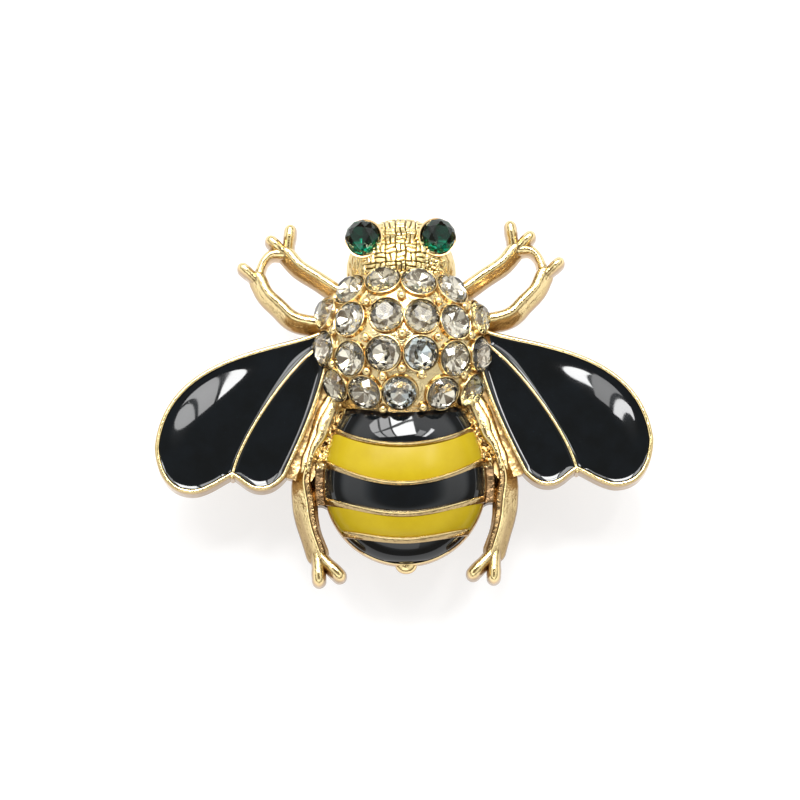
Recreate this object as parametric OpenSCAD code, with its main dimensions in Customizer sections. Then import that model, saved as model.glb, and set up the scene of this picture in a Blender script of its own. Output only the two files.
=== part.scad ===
// A cast bee brooch with round cut stones and enamel, lying on its pin with the face up.
// Millimetres. X points to the bee's right wing as seen, Y to its head, Z up out of the face.

/* [Thorax] */
// Width of the domed thorax at the casting's back
thorax_w = 15.4; // [14.6:0.1:16.4]
// Length of the thorax dome at the casting's back
thorax_l = 16.8; // [16:0.1:18]
// Height of the thorax dome above the casting's back
thorax_h = 7; // [6:0.1:8]

/* [Stones] */
// Diameter of a clear stone
stone_d = 3; // [2.6:0.05:3.1]
// Height of a stone's crown, from girdle to table
crown_h = 0.7; // [0.5:0.05:0.9]
// Height of the girdle between crown and pavilion
girdle_h = 0.14; // [0.1:0.02:0.24]
// Depth of a stone's pavilion below the girdle
pavilion_h = 1.25; // [1:0.05:1.4]
// Share of the diameter that the table takes
table_share = 0.56; // [0.45:0.01:0.65]
// How far the girdle stands above the dome
stone_lift = 0.3; // [0.2:0.05:0.45]
// Wall of the gold rim round a stone
bezel_w = 0.2; // [0.15:0.05:0.3]
// How far that rim reaches above the girdle's lower edge
bezel_lip = 0.22; // [0.15:0.01:0.35]
// Diameter of the small gold grains between the stones
grain_d = 0.9; // [0.7:0.05:1.1]
// Free space between a set piece and its seat
seat_gap = 0.05; // [0.04:0.01:0.08]

/* [Head] */
// Width of the head where it meets the thorax
head_w = 10; // [9:0.1:11]
// Distance of the head's centre in front of the thorax centre
head_mid = 7; // [6.5:0.1:7.5]
// Length of the head in front of its centre
head_l = 4.9; // [4.2:0.1:5.6]
// Height of the head above the casting's back
head_h = 5; // [4.4:0.1:5.6]
// Spacing of the small raised bars of the hammered face
weave_pitch = 0.95; // [0.8:0.05:1.2]
// How far those bars are raised
weave_h = 0.12; // [0.06:0.02:0.2]

/* [Eyes] */
// Diameter of an eye stone
eye_d = 3.2; // [2.8:0.05:3.6]
// Distance of each eye from the middle line
eye_x = 3.5; // [3.2:0.05:3.8]
// Distance of the eyes in front of the head's centre
eye_y = 2.55; // [2.2:0.05:2.9]
// Height of an eye's girdle above the casting's back
eye_z = 4; // [3.6:0.05:4.6]
// Outward lean of an eye in degrees
eye_lean = 15; // [5:1:25]
// Wall of the cup that holds an eye
cup_w = 0.22; // [0.15:0.01:0.35]

/* [Abdomen] */
// Width of the abdomen at its widest place
abdomen_w = 14.7; // [13.6:0.1:15.4]
// Distance of that place behind the thorax centre
abdomen_mid = 12.8; // [12.4:0.1:13.4]
// Distance of the tail end behind the thorax centre
abdomen_end = 20.7; // [20.2:0.1:21.4]
// Length of the abdomen's front half, hidden in part under the thorax
abdomen_neck = 10; // [9:0.1:11]
// Height of the upright wall round the abdomen
abdomen_wall = 1.2; // [0.9:0.1:1.6]
// Height of the abdomen's dome above that wall
abdomen_dome = 4; // [3.4:0.1:4.6]
// Width of the gold rim round the abdomen
edge_w = 0.45; // [0.35:0.05:0.6]
// Width of a ridge between two bands
ridge_w = 0.4; // [0.3:0.05:0.6]
// Height of the ridges above the enamel
ridge_h = 0.25; // [0.1:0.05:0.4]
// Width of the small nub at the tail
nub_w = 1.8; // [1.2:0.1:2.4]
// How far that nub stands out past the tail
nub_out = 0.2; // [0.1:0.05:0.5]

/* [Wings] */
// Distance from wing tip to wing tip
wing_span = 45; // [43:0.5:48]
// Length of a wing from its front root to its lowest edge
wing_drop = 14.75; // [14:0.25:16]
// How far the wings' feet reach in under the edge of the thorax
wing_bite = 0.4; // [0.3:0.05:0.6]
// Distance of the wing's front root in front of the thorax centre
wing_root = 1.3; // [1:0.1:1.5]
// Thickness of the wing plates
wing_t = 2.2; // [1.9:0.1:2.6]
// Width of the outer rim of a wing
rim_w = 0.5; // [0.4:0.05:0.65]
// Width of the rib between the two cells of a wing
rib_w = 0.45; // [0.35:0.05:0.6]
// Thickness of the low web between wing and abdomen
web_t = 1.2; // [0.9:0.1:1.5]

/* [Enamel] */
// Thickness of the enamel at the edge of a cell
enamel_t = 0.8; // [0.6:0.05:1]
// Rise of the enamel towards the middle of a wing cell
enamel_rise = 0.4; // [0.2:0.05:0.6]
// How far the enamel's edge lies below a wing's rim
enamel_step = 0.15; // [0.05:0.05:0.3]

/* [Legs] */
// Reach of the fore claws in front of the thorax centre
claw_reach = 11.4; // [11:0.1:11.8]
// Reach of the middle claws from the middle line
claw_spread = 15; // [14.4:0.1:15.6]
// Reach of the hind claws behind the thorax centre
hind_reach = 22; // [21.6:0.1:23]
// Reach of the hind legs from the middle line
hind_spread = 9; // [8.8:0.1:9.4]
// Width of the fore and middle legs
leg_w = 1.5; // [1.3:0.05:1.8]
// Width of the hind legs
hind_w = 2; // [1.7:0.05:2.3]
// Height of the legs above the casting's back
leg_h = 2.1; // [1.8:0.1:2.4]

/* [Pin] */
// Length of the bar that carries the pin
bar_l = 26; // [22:0.5:30]
// Width of the bar
bar_w = 4; // [3:0.1:4.6]
// Thickness of the bar
bar_t = 0.7; // [0.6:0.1:1]
// Distance of the bar behind the thorax centre, under the centre of mass
bar_back = 4.4; // [4:0.1:5]
// Free height between needle and bar, for the cloth
cloth_gap = 4.3; // [4.2:0.1:5]
// Diameter of the needle
needle_d = 0.9; // [0.7:0.05:1.1]
// Height of the needle's axis above the table
needle_z = 1.25; // [1.1:0.05:1.6]
// Length of the hinge block along the bar
hinge_l = 3; // [2.4:0.1:4]
// Length of the catch block along the bar
catch_l = 2.4; // [2:0.1:3.4]
// Width of both blocks, which the brooch rests on
foot_w = 4.8; // [4.4:0.1:6]
// Free space round the needle in the catch
catch_gap = 0.2; // [0.15:0.05:0.3]
// How far the needle's point passes the catch
point_l = 1.6; // [1:0.1:2.4]
// Film of solder or glue between bar and casting
film = 0.05; // [0.03:0.01:0.1]

/* [Hidden] */
GOLD = "#D8BE82";
CLEAR = "#DDE3E8";
GREEN = "#0B4A35";
BLACK = "#17181C";
YELLOW = "#E6C838";
STEEL = "#CFC7AE";

// Clear stones: places on the dome as shares of its half width and half length
X = 0;
Y = 1;
STONES = [
    [-0.59, 0.54], [-0.21, 0.61], [0.20, 0.58], [0.58, 0.52],
    [-0.87, 0.34], [-0.60, 0.19], [-0.18, 0.20], [0.23, 0.18], [0.61, 0.14], [0.88, 0.25],
    [-0.89, -0.06], [-0.60, -0.23], [-0.22, -0.21], [0.21, -0.22], [0.60, -0.25], [0.89, -0.15],
    [-0.77, -0.46], [-0.44, -0.58], [-0.04, -0.61], [0.45, -0.60], [0.78, -0.52],
];
// Gold grains between the stones, in the same shares
GRAINS = [
    [0, 0.41], [0.42, 0.36], [-0.40, 0.36], [0.72, 0.33], [-0.76, 0.47],
    [0, -0.01], [0.41, -0.04], [-0.42, -0.03], [0.78, 0.02], [-0.78, 0.10],
    [-0.01, -0.37], [-0.41, -0.38], [-0.23, -0.44], [0.21, -0.43], [0.69, -0.40],
    [-0.80, -0.25], [0.22, -0.74], [-0.23, -0.75],
];

// Ridges of the abdomen, front to back. A row holds the distance behind the thorax centre in the
// middle and how much less it is at the sides, both as shares of the tail's distance.
RIDGE_AT = 0;
RIDGE_SAG = 1;
RIDGES = [
    [0.319, 0.020],
    [0.468, 0.095],
    [0.646, 0.130],
    [0.776, 0.092],
    [0.895, 0.061],
    [0.976, 0.007],
];
BAND_COLOURS = [BLACK, YELLOW, BLACK, YELLOW, BLACK];

// Wing edges as curves of four points. A point holds the distance from the wing's foot as a share of
// the way to the tip, and the distance behind the wing's root as a share of the wing's length.
WING_FRONT = [[0.013, 0], [0.251, 0.105], [0.932, 0.112], [1, 0.697]];
WING_TIP = [[1, 0.697], [1, 0.770], [0.976, 0.995], [0.778, 1]];
WING_NOTCH = [[0.778, 1], [0.697, 1], [0.608, 0.930], [0.541, 0.897]];
WING_RIB = [[0.541, 0.897], [0.503, 0.672], [0.211, 0.239], [0.023, 0.100]];
WING_ROOT = [[0.023, 0.100], [0.020, 0.067], [0.016, 0.033], [0.013, 0]];
HIND_OUT = [[0.541, 0.897], [0.489, 0.925], [0.452, 0.988], [0.371, 0.988]];
HIND_IN = [[0.371, 0.988], [0.312, 0.988], [0.260, 0.955], [0.204, 0.905]];
HIND_BODY = [[0.204, 0.905], [0.079, 0.740], [0.062, 0.450], [0.001, 0.250]];
HIND_ROOT = [[0.001, 0.250], [0.008, 0.200], [0.016, 0.150], [0.023, 0.100]];

// Legs: the path from root to ankle, then the two toes. A row holds the distance from the middle
// line, the distance along the body and the width, as shares of the reaches and the leg's width.
FORE_LEG = [[0.33, 0.38, 1], [0.50, 0.548, 1], [0.62, 0.654, 1.05], [0.685, 0.752, 1.1]];
FORE_TOES = [[0.668, 0.956, 0.68], [0.785, 0.876, 0.68]];
MID_LEG = [[0.44, 0.165, 1], [0.645, 0.222, 1], [0.750, 0.345, 1], [0.825, 0.445, 1], [0.868, 0.555, 1.1]];
MID_TOES = [[0.958, 0.660, 0.68], [0.846, 0.722, 0.68]];
CLAW_WEB = [[0.765, 0.800, 0.8], [0.838, 0.660, 0.8]];
HIND_LEG = [
    [0.64, 0.200, 0.62],
    [0.83, 0.355, 0.62],
    [0.94, 0.455, 0.75],
    [0.99, 0.568, 1],
    [1, 0.668, 1],
    [0.94, 0.782, 1],
    [0.865, 0.875, 1.05],
];
HIND_TOES = [[0.872, 0.970, 0.66], [0.668, 0.953, 0.66]];

// Cross-section of the enamel in a wing cell: share of the cell's outline and share of the rise
PILLOW = [[1, 0], [0.86, 0.55], [0.6, 0.9], [0.25, 1]];

SIDES = [["left", -1], ["right", 1]];
// Flats round a stone, and round the rim that holds it
STONE_SIDES = 10;
RIM_SIDES = 12;
// Flats round the domes of thorax and head, and round the abdomen
DOME_SIDES = 32;
EGG_SIDES = 40;
// Flats round a leg, a grain and a cup, and steps round the pin
LEG_SIDES = 10;
GRAIN_SIDES = 8;
CUP_SIDES = 20;
PIN_SIDES = 32;
// Grid of an enamel band
ACROSS = 14;
ALONG = 3;
// A corner of an outline is sharp where the square of the bend's sine passes this
SHARP = 0.1;
// How deep rims and cups reach into the dome under them
DEEP = 2.4;
// How far the cuts for the enamel reach above the gold
CUT_UP = 0.9;
// How far one piece of the pin reaches into the next
SEATED = 0.5;
// Part of the head's half width and length that carries the raised bars, and their lowest place
WEAVE_WIDE = 0.8;
WEAVE_LONG = 0.95;
WEAVE_LOW = 0.33;

eye_scale = eye_d / stone_d;
wing_foot = thorax_w / 2 - wing_bite;
abdomen_tail = abdomen_end - abdomen_mid;
front_y = head_mid + head_l;
needle_top = needle_z + needle_d / 2;
bar_z = needle_top + cloth_gap;
back_z = bar_z + bar_t + film;
mid_y = (front_y - hind_reach) / 2;

function two(n) = n < 10 ? str("0", n) : str(n);
function stone_name(i) = str("crystal_", two(i + 1));

// Points of a cubic curve, without its last point so that curves chain
function bezier(c, n) = [
    for (i = [0:n - 1])
        let (t = i / n, u = 1 - t)
            u * u * u * c[0] + 3 * u * u * t * c[1] + 3 * u * t * t * c[2] + t * t * t * c[3]
];
function turned(c) = [c[3], c[2], c[1], c[0]];
function wing_point(p) = [wing_foot + p[X] * (wing_span / 2 - wing_foot), wing_root - p[Y] * wing_drop];
function wing_curve(c, n) = [for (p = bezier(c, n)) wing_point(p)];
function repeated(value, n) = [for (i = [1:n]) value];

// Each point of a clockwise outline moved inwards by its own distance
function normal_at(a, b) = let (d = b - a) [d[Y], -d[X]] / norm(d);
function inset(points, widths) = [
    for (i = [0:len(points) - 1])
        let (
            n = len(points),
            before = normal_at(points[(i + n - 1) % n], points[i]),
            after = normal_at(points[i], points[(i + 1) % n]),
            w1 = widths[(i + n - 1) % n],
            w2 = widths[i],
            c = before * after,
            bent = 1 - c * c
        )
            bent < SHARP
                ? points[i] + (before + after) * (w1 + w2) / 2 / (1 + c)
                : points[i] + before * (w1 - c * w2) / bent + after * (w2 - c * w1) / bent
];

function mean(points, i = 0) = i == len(points) - 1 ? points[i] : points[i] + mean(points, i + 1);
function middle(points) = mean(points) / len(points);

// A closed solid through rings of equal length, lowest first, with a flat or a pointed bottom
function ring_faces(n, low) = [
    for (i = [0:n - 1], half = [0, 1])
        let (j = (i + 1) % n)
            half == 0 ? [low + i, low + n + i, low + j] : [low + j, low + n + i, low + n + j]
];
module lofted(rings, tip) {
    n = len(rings[0]);
    last = len(rings) - 1;
    walls = [for (k = [0:last - 1], face = ring_faces(n, k * n)) face];
    top = [for (i = [n - 1:-1:0]) last * n + i];
    flat = [[for (i = [0:n - 1]) i]];
    pointed = [for (i = [0:n - 1]) [(last + 1) * n, i, (i + 1) % n]];
    points = concat([for (ring = rings, p = ring) p], is_undef(tip) ? [] : [tip]);
    polyhedron(points, concat(walls, [top], is_undef(tip) ? flat : pointed));
}
function ring(r, z, turn) = [
    for (i = [0:STONE_SIDES - 1])
        let (a = (i + turn) * 360 / STONE_SIDES)
            [r * cos(a), r * sin(a), z]
];

// Places on the domes
function dome_z(size, x, y) = size[2] * sqrt(max(0, 1 - pow(x / size[0], 2) - pow(y / size[1], 2)));
module on_dome(size, x, y) {
    z = dome_z(size, x, y);
    n = [x / size[0] / size[0], y / size[1] / size[1], z / size[2] / size[2]];
    translate([x, y, z])
        rotate([0, acos(n[2] / norm(n)), atan2(n[Y], n[X])])
            children();
}
module half_ball(size, sides) {
    scale(size)
        intersection() {
            sphere(r = 1, $fn = sides);
            translate([-1, -1, 0])
                cube([2, 2, 1]);
        }
}
thorax = [thorax_w / 2, thorax_l / 2, thorax_h];
head = [head_w / 2, head_l, head_h];
module at_stone(place) {
    on_dome(thorax, place[X] * thorax[X], place[Y] * thorax[Y])
        children();
}
module at_back() {
    translate([0, -mid_y, back_z])
        children();
}
module mirrored() {
    for (side = SIDES)
        scale([side[1], 1, 1])
            children();
}

// A cut stone with its girdle's top at zero, and the seat that it fits with a gap all round
module cut_stone(size = 1) {
    r = size * stone_d / 2;
    rings = [
        ring(r, -girdle_h, 0),
        ring(r, 0, 0),
        ring(r * table_share, size * crown_h, 0.5),
    ];
    lofted(rings, [0, 0, -girdle_h - size * pavilion_h]);
}
module stone_seat(size = 1) {
    r = size * stone_d / 2 + seat_gap;
    rings = [ring(r, -girdle_h - seat_gap, 0), ring(r, size * crown_h, 0)];
    lofted(rings, [0, 0, -girdle_h - size * pavilion_h - 2 * seat_gap]);
}
module crystal(i) {
    color(CLEAR)
        at_back()
            at_stone(STONES[i])
                translate([0, 0, stone_lift])
                    cut_stone();
}
module at_eye(side) {
    translate([side * eye_x, head_mid + eye_y, eye_z])
        rotate([0, side * eye_lean, 0])
            children();
}
module eye(side) {
    color(GREEN)
        at_back()
            at_eye(side)
                cut_stone(eye_scale);
}

module thorax_shell() {
    half_ball(thorax, DOME_SIDES);
    for (place = STONES)
        at_stone(place)
            translate([0, 0, stone_lift - girdle_h - DEEP / 2])
                cylinder(r = stone_d / 2 + seat_gap + bezel_w, h = DEEP / 2 + bezel_lip, $fn = RIM_SIDES);
    for (place = GRAINS)
        at_stone(place)
            translate([0, 0, grain_d / 4])
                sphere(d = grain_d, $fn = GRAIN_SIDES);
}

// Short raised bars over the head, turned by a quarter from each to the next
module weave() {
    columns = floor(WEAVE_WIDE * head[X] / weave_pitch);
    rows = floor(WEAVE_LONG * head[Y] / weave_pitch);
    for (i = [-columns:columns], j = [0:rows])
        let (x = i * weave_pitch, y = j * weave_pitch)
            if (dome_z(head, x, y) > WEAVE_LOW * head_h)
                on_dome(head, x, y)
                    rotate((i + j) % 2 == 0 ? 0 : 90)
                        cube([0.8 * weave_pitch, 0.4 * weave_pitch, 2 * weave_h], center = true);
}
module head_shell() {
    translate([0, head_mid, 0]) {
        half_ball(head, DOME_SIDES);
        weave();
    }
    mirrored()
        at_eye(1)
            translate([0, 0, -girdle_h - DEEP])
                cylinder(
                    r1 = eye_d / 2 - cup_w,
                    r2 = eye_d / 2 + seat_gap + cup_w,
                    h = DEEP + bezel_lip,
                    $fn = CUP_SIDES
                );
}

// The abdomen is a wall with an egg-shaped dome on it, shorter behind than in front
module egg() {
    translate([0, -abdomen_mid, 0])
        for (end = [[abdomen_neck, 1], [abdomen_tail, -1]])
            intersection() {
                scale([abdomen_w / 2, end[0], abdomen_dome])
                    sphere(r = 1, $fn = EGG_SIDES);
                translate([-abdomen_w, end[1] > 0 ? 0 : -abdomen_w, 0])
                    cube([2 * abdomen_w, abdomen_w, abdomen_w]);
            }
}
module egg_wall() {
    translate([0, -abdomen_mid])
        for (end = [[abdomen_neck, 1], [abdomen_tail, -1]])
            intersection() {
                scale([abdomen_w / 2, end[0]])
                    circle(r = 1, $fn = EGG_SIDES);
                translate([-abdomen_w, end[1] > 0 ? 0 : -abdomen_w])
                    square([2 * abdomen_w, abdomen_w]);
            }
}
module abdomen_shell() {
    linear_extrude(abdomen_wall)
        egg_wall();
    translate([0, 0, abdomen_wall])
        egg();
    translate([0, nub_w / 2 - abdomen_end - nub_out, 0])
        cylinder(d = nub_w, h = abdomen_wall, $fn = RIM_SIDES);
}

// A band is a grid of points between two ridges. Its side ends follow the abdomen's rim.
function egg_len(y, less) = (y > -abdomen_mid ? abdomen_neck : abdomen_tail) - less;
function egg_half(y, less) =
    (abdomen_w / 2 - less) * sqrt(max(0, 1 - pow((y + abdomen_mid) / egg_len(y, less), 2)));
function egg_z(x, y) =
    abdomen_wall
    + abdomen_dome
        * sqrt(max(0, 1 - pow(x / (abdomen_w / 2), 2) - pow((y + abdomen_mid) / egg_len(y, 0), 2)));
function ridge_y(k, s) = -(RIDGES[k][RIDGE_AT] - RIDGES[k][RIDGE_SAG] * s * s) * abdomen_end;
module band(k, grow, up, down) {
    less = edge_w - grow;
    front_half = (k == 0 ? 0 : ridge_w / 2) - grow;
    back_half = (k == len(BAND_COLOURS) - 1 ? 0 : ridge_w / 2) - grow;
    border = concat(
        [for (i = [0:ACROSS - 1]) [i / ACROSS, 1]],
        [for (j = [0:ALONG - 1]) [1, 1 - j / ALONG]],
        [for (i = [0:ACROSS - 1]) [1 - i / ACROSS, 0]],
        [for (j = [0:ALONG - 1]) [0, j / ALONG]]
    );
    function spot(u, v) =
        let (
            s = 2 * u - 1,
            front = ridge_y(k, s) - front_half,
            back = ridge_y(k + 1, s) + back_half,
            y = front + (back - front) * v
        )
            [s * egg_half(y, less), y];
    function at(u, v, lift) = let (p = spot(u, v)) [p[X], p[Y], egg_z(p[X], p[Y]) + lift];
    top = [for (i = [0:ACROSS], j = [0:ALONG]) at(i / ACROSS, j / ALONG, up)];
    low = [for (i = [0:ACROSS], j = [0:ALONG]) at(i / ACROSS, j / ALONG, down)];
    rows = ALONG + 1;
    n = len(top);
    cells = [for (i = [0:ACROSS - 1], j = [0:ALONG - 1]) [i, j]];
    function id(c, di, dj) = (c[0] + di) * rows + c[1] + dj;
    tops = [
        for (c = cells, h = [0, 1])
            h == 0
                ? [id(c, 0, 0), id(c, 1, 0), id(c, 0, 1)]
                : [id(c, 1, 0), id(c, 1, 1), id(c, 0, 1)]
    ];
    lows = [for (f = tops) [f[0] + n, f[2] + n, f[1] + n]];
    rim = [for (b = border) round(b[0] * ACROSS) * rows + round(b[1] * ALONG)];
    walls = [
        for (i = [0:len(rim) - 1], h = [0, 1])
            let (a = rim[i], b = rim[(i + 1) % len(rim)])
                h == 0 ? [a, b, a + n] : [b, b + n, a + n]
    ];
    polyhedron(concat(top, low), concat(tops, lows, walls));
}
module enamel_band(k) {
    color(BAND_COLOURS[k])
        at_back()
            band(k, 0, -ridge_h, -ridge_h - enamel_t);
}

// Wing outlines run clockwise for the bee's right wing as seen
fore_front = wing_curve(WING_FRONT, 10);
fore_tip = wing_curve(WING_TIP, 7);
fore_notch = wing_curve(WING_NOTCH, 4);
fore_rib = wing_curve(WING_RIB, 8);
fore_root = wing_curve(WING_ROOT, 1);
hind_rib = wing_curve(turned(WING_RIB), 8);
hind_out = wing_curve(HIND_OUT, 5);
hind_in = wing_curve(HIND_IN, 4);
hind_body = wing_curve(HIND_BODY, 7);
hind_root = wing_curve(HIND_ROOT, 1);

forewing_outline = concat(fore_front, fore_tip, fore_notch, fore_rib, fore_root);
forewing_widths = concat(
    repeated(rim_w, len(fore_front) + len(fore_tip) + len(fore_notch)),
    repeated(rib_w / 2, len(fore_rib)),
    repeated(rim_w, len(fore_root))
);
hindwing_outline = concat(hind_rib, hind_out, hind_in, hind_body, hind_root);
hindwing_widths = concat(
    repeated(rib_w / 2, len(hind_rib)),
    repeated(rim_w, len(hind_out) + len(hind_in) + len(hind_body) + len(hind_root))
);
forewing_cell = inset(forewing_outline, forewing_widths);
hindwing_cell = inset(hindwing_outline, hindwing_widths);

// Enamel with a flat underside and a top that rises from its edge towards the middle
module pillow(cell) {
    edge = wing_t - enamel_step;
    c = middle(cell);
    n = len(cell);
    function shrunk(s, z) = [for (i = [n - 1:-1:0]) let (p = c + (cell[i] - c) * s) [p[X], p[Y], z]];
    top = [for (row = PILLOW) shrunk(row[0], edge + row[1] * enamel_rise)];
    lofted(concat([shrunk(1, edge - enamel_t)], top));
}
module cell_cut(cell) {
    floor_z = wing_t - enamel_step - enamel_t - seat_gap;
    translate([0, 0, floor_z])
        linear_extrude(wing_t - floor_z + CUT_UP / 2)
            offset(delta = seat_gap)
                polygon(cell);
}
module forewing_enamel(side) {
    color(BLACK)
        at_back()
            scale([side, 1, 1])
                pillow(forewing_cell);
}
module hindwing_enamel(side) {
    color(BLACK)
        at_back()
            scale([side, 1, 1])
                pillow(hindwing_cell);
}
module wing_plate() {
    linear_extrude(wing_t) {
        polygon(forewing_outline);
        polygon(hindwing_outline);
        polygon([fore_front[0], fore_root[0], hind_root[0], [thorax_w / 4, 0]]);
    }
    linear_extrude(web_t) {
        polygon(concat(hind_body, hind_root, [[thorax_w / 4, 0], [thorax_w / 4, -abdomen_mid]]));
        shoulder = [for (i = [1, 0]) [MID_LEG[i][X] * claw_spread, MID_LEG[i][Y] * claw_reach]];
        polygon(concat([fore_front[1]], shoulder, [[thorax_w / 4, thorax_l / 4], [thorax_w / 4, 0], fore_root[0]]));
    }
}

// A leg is a chain of rounded posts, and so is each toe
module post(p, spread, reach, w, h) {
    translate([p[X] * spread, p[Y] * reach, 0]) {
        cylinder(d = p[2] * w, h = h - p[2] * w / 4, $fn = LEG_SIDES);
        cylinder(d = p[2] * w / 2, h = h, $fn = LEG_SIDES);
    }
}
module chain(posts, spread, reach, w, h) {
    for (i = [0:len(posts) - 2])
        hull() {
            post(posts[i], spread, reach, w, h);
            post(posts[i + 1], spread, reach, w, h);
        }
}
module leg(path, toes, spread, reach, w) {
    chain(path, spread, reach, w, leg_h);
    for (toe = toes)
        chain([path[len(path) - 1], toe], spread, reach, w, leg_h);
}
module legs() {
    leg(FORE_LEG, FORE_TOES, claw_spread, claw_reach, leg_w);
    leg(MID_LEG, MID_TOES, claw_spread, claw_reach, leg_w);
    chain(CLAW_WEB, claw_spread, claw_reach, leg_w, web_t);
    leg(HIND_LEG, HIND_TOES, hind_spread, -hind_reach, hind_w);
    hind_web = [for (i = [2:4]) [HIND_LEG[i][X] * hind_spread, -HIND_LEG[i][Y] * hind_reach]];
    linear_extrude(web_t)
        polygon(concat(hind_web, [[abdomen_w / 4, -abdomen_mid]]));
}

module casting() {
    color(GOLD)
        at_back()
            difference() {
                union() {
                    thorax_shell();
                    head_shell();
                    abdomen_shell();
                    mirrored() {
                        wing_plate();
                        legs();
                    }
                }
                for (place = STONES)
                    at_stone(place)
                        translate([0, 0, stone_lift])
                            stone_seat();
                for (side = SIDES)
                    at_eye(side[1])
                        stone_seat(eye_scale);
                for (k = [0:len(BAND_COLOURS) - 1])
                    band(k, seat_gap, CUT_UP, -ridge_h - enamel_t - seat_gap);
                mirrored() {
                    cell_cut(forewing_cell);
                    cell_cut(hindwing_cell);
                }
            }
}

// The hidden pin: a bar with a hinge block, a needle and an open catch, in one piece
module pin_back() {
    hinge_x = bar_l / 2 - hinge_l;
    catch_x = catch_l - bar_l / 2;
    bore_d = needle_d + 2 * catch_gap;
    shaft_l = hinge_x - catch_x + catch_l;
    color(STEEL)
        translate([0, -bar_back - mid_y, 0]) {
            translate([-bar_l / 2, -bar_w / 2, bar_z])
                cube([bar_l, bar_w, bar_t]);
            translate([hinge_x, -foot_w / 2, 0])
                cube([hinge_l, foot_w, bar_z]);
            difference() {
                translate([-bar_l / 2, -foot_w / 2, 0])
                    cube([catch_l, foot_w, bar_z]);
                translate([-bar_l / 2 - SEATED, 0, needle_z])
                    rotate([0, 90, 0])
                        cylinder(d = bore_d, h = catch_l + 2 * SEATED, $fn = PIN_SIDES);
                translate([-bar_l / 2 - SEATED, 0, needle_z - bore_d / 2])
                    cube([catch_l + 2 * SEATED, foot_w, bore_d]);
            }
            translate([hinge_x + SEATED, 0, needle_z])
                rotate([0, -90, 0]) {
                    cylinder(d = needle_d, h = shaft_l, $fn = PIN_SIDES);
                    translate([0, 0, shaft_l])
                        cylinder(d1 = needle_d, d2 = needle_d / 5, h = point_l + SEATED, $fn = PIN_SIDES);
                }
        }
}

casting();
pin_back();
for (side = SIDES) {
    eye(side[1]);
    forewing_enamel(side[1]);
    hindwing_enamel(side[1]);
}
for (i = [0:len(STONES) - 1]) crystal(i);
for (k = [0:len(BAND_COLOURS) - 1])
    enamel_band(k);
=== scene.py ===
"""Looks of a cast bee brooch: pale gold with a woven head, cut glass stones and domed enamel.

Lengths are millimetres in the casting's own frame: the origin is at the thorax's centre on the
casting's flat back, X to the right, Y to the head and Z out of the face.
"""
import math
import random

import bmesh
import bpy
import numpy as np
from mathutils import Matrix, Vector, noise


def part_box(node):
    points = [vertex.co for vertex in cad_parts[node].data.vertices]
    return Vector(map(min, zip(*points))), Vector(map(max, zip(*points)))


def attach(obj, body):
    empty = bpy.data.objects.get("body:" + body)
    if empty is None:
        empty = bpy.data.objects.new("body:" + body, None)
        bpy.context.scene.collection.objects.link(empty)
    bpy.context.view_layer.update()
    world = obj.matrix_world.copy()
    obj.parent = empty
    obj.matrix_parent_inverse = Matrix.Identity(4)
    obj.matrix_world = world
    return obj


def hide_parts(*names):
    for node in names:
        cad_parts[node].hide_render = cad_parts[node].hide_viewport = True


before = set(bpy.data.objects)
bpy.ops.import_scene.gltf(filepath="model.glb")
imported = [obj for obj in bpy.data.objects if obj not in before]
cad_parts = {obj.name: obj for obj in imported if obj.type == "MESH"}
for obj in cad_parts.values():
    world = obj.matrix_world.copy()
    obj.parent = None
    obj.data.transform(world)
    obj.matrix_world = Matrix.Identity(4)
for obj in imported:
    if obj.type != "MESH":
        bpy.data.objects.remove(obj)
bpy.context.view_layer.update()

MM = 0.001
# The frame's origin lies this far behind the thorax's centre
BACK_Y = 5.05
casting_low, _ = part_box("casting")
TO_FRAME = Matrix.Translation((0, BACK_Y * MM, casting_low.z)) @ Matrix.Scale(MM, 4)
UP = np.array([0.0, 0.0, 1.0])
SIDES = (("left", -1), ("right", 1))

# Half sizes of the domes of thorax and head, and the head's place
THORAX = (7.7, 8.4, 7.0)
HEAD = (5.0, 4.9, 5.0)
HEAD_Y = 7.0
# Stones: radius, height over the girdle, the girdle's own height and how far it stands off the dome.
# Then the eyes' radius, place and outward lean.
STONE_R, CROWN, GIRDLE, LIFT = 1.5, 0.7, 0.14, 0.3
EYE_R, EYE_PLACE, EYE_LEAN = 1.6, (3.5, 9.55, 4.0), math.radians(15)
# How deep the backs of the clear stones and of the eyes are, for a stone of the clear ones' radius
STONE_BACK, EYE_BACK = 0.5, 0.62
# The abdomen is an egg: half width, widest place, lengths to neck and tail, wall and dome heights
EGG_HALF, EGG_Y, EGG_NECK, EGG_TAIL = 7.35, -12.8, 10.0, 7.45
EGG_WALL, EGG_DOME = 1.2, 4.0
# Wings: where they leave the thorax, how far the tips reach, front, length and height, and the widths
# of rim and rib
WING_FOOT, WING_HALF, WING_Y, WING_DROP, WING_H = 7.3, 22.5, 1.3, 14.75, 2.2
RIM, RIB = 0.5, 0.45
# How far the legs reach, and how high their toes stand
CLAW_Y, CLAW_X, HIND_Y, HIND_X, LEG_H = 11.4, 15.0, -22.0, 9.0, 2.1

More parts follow.
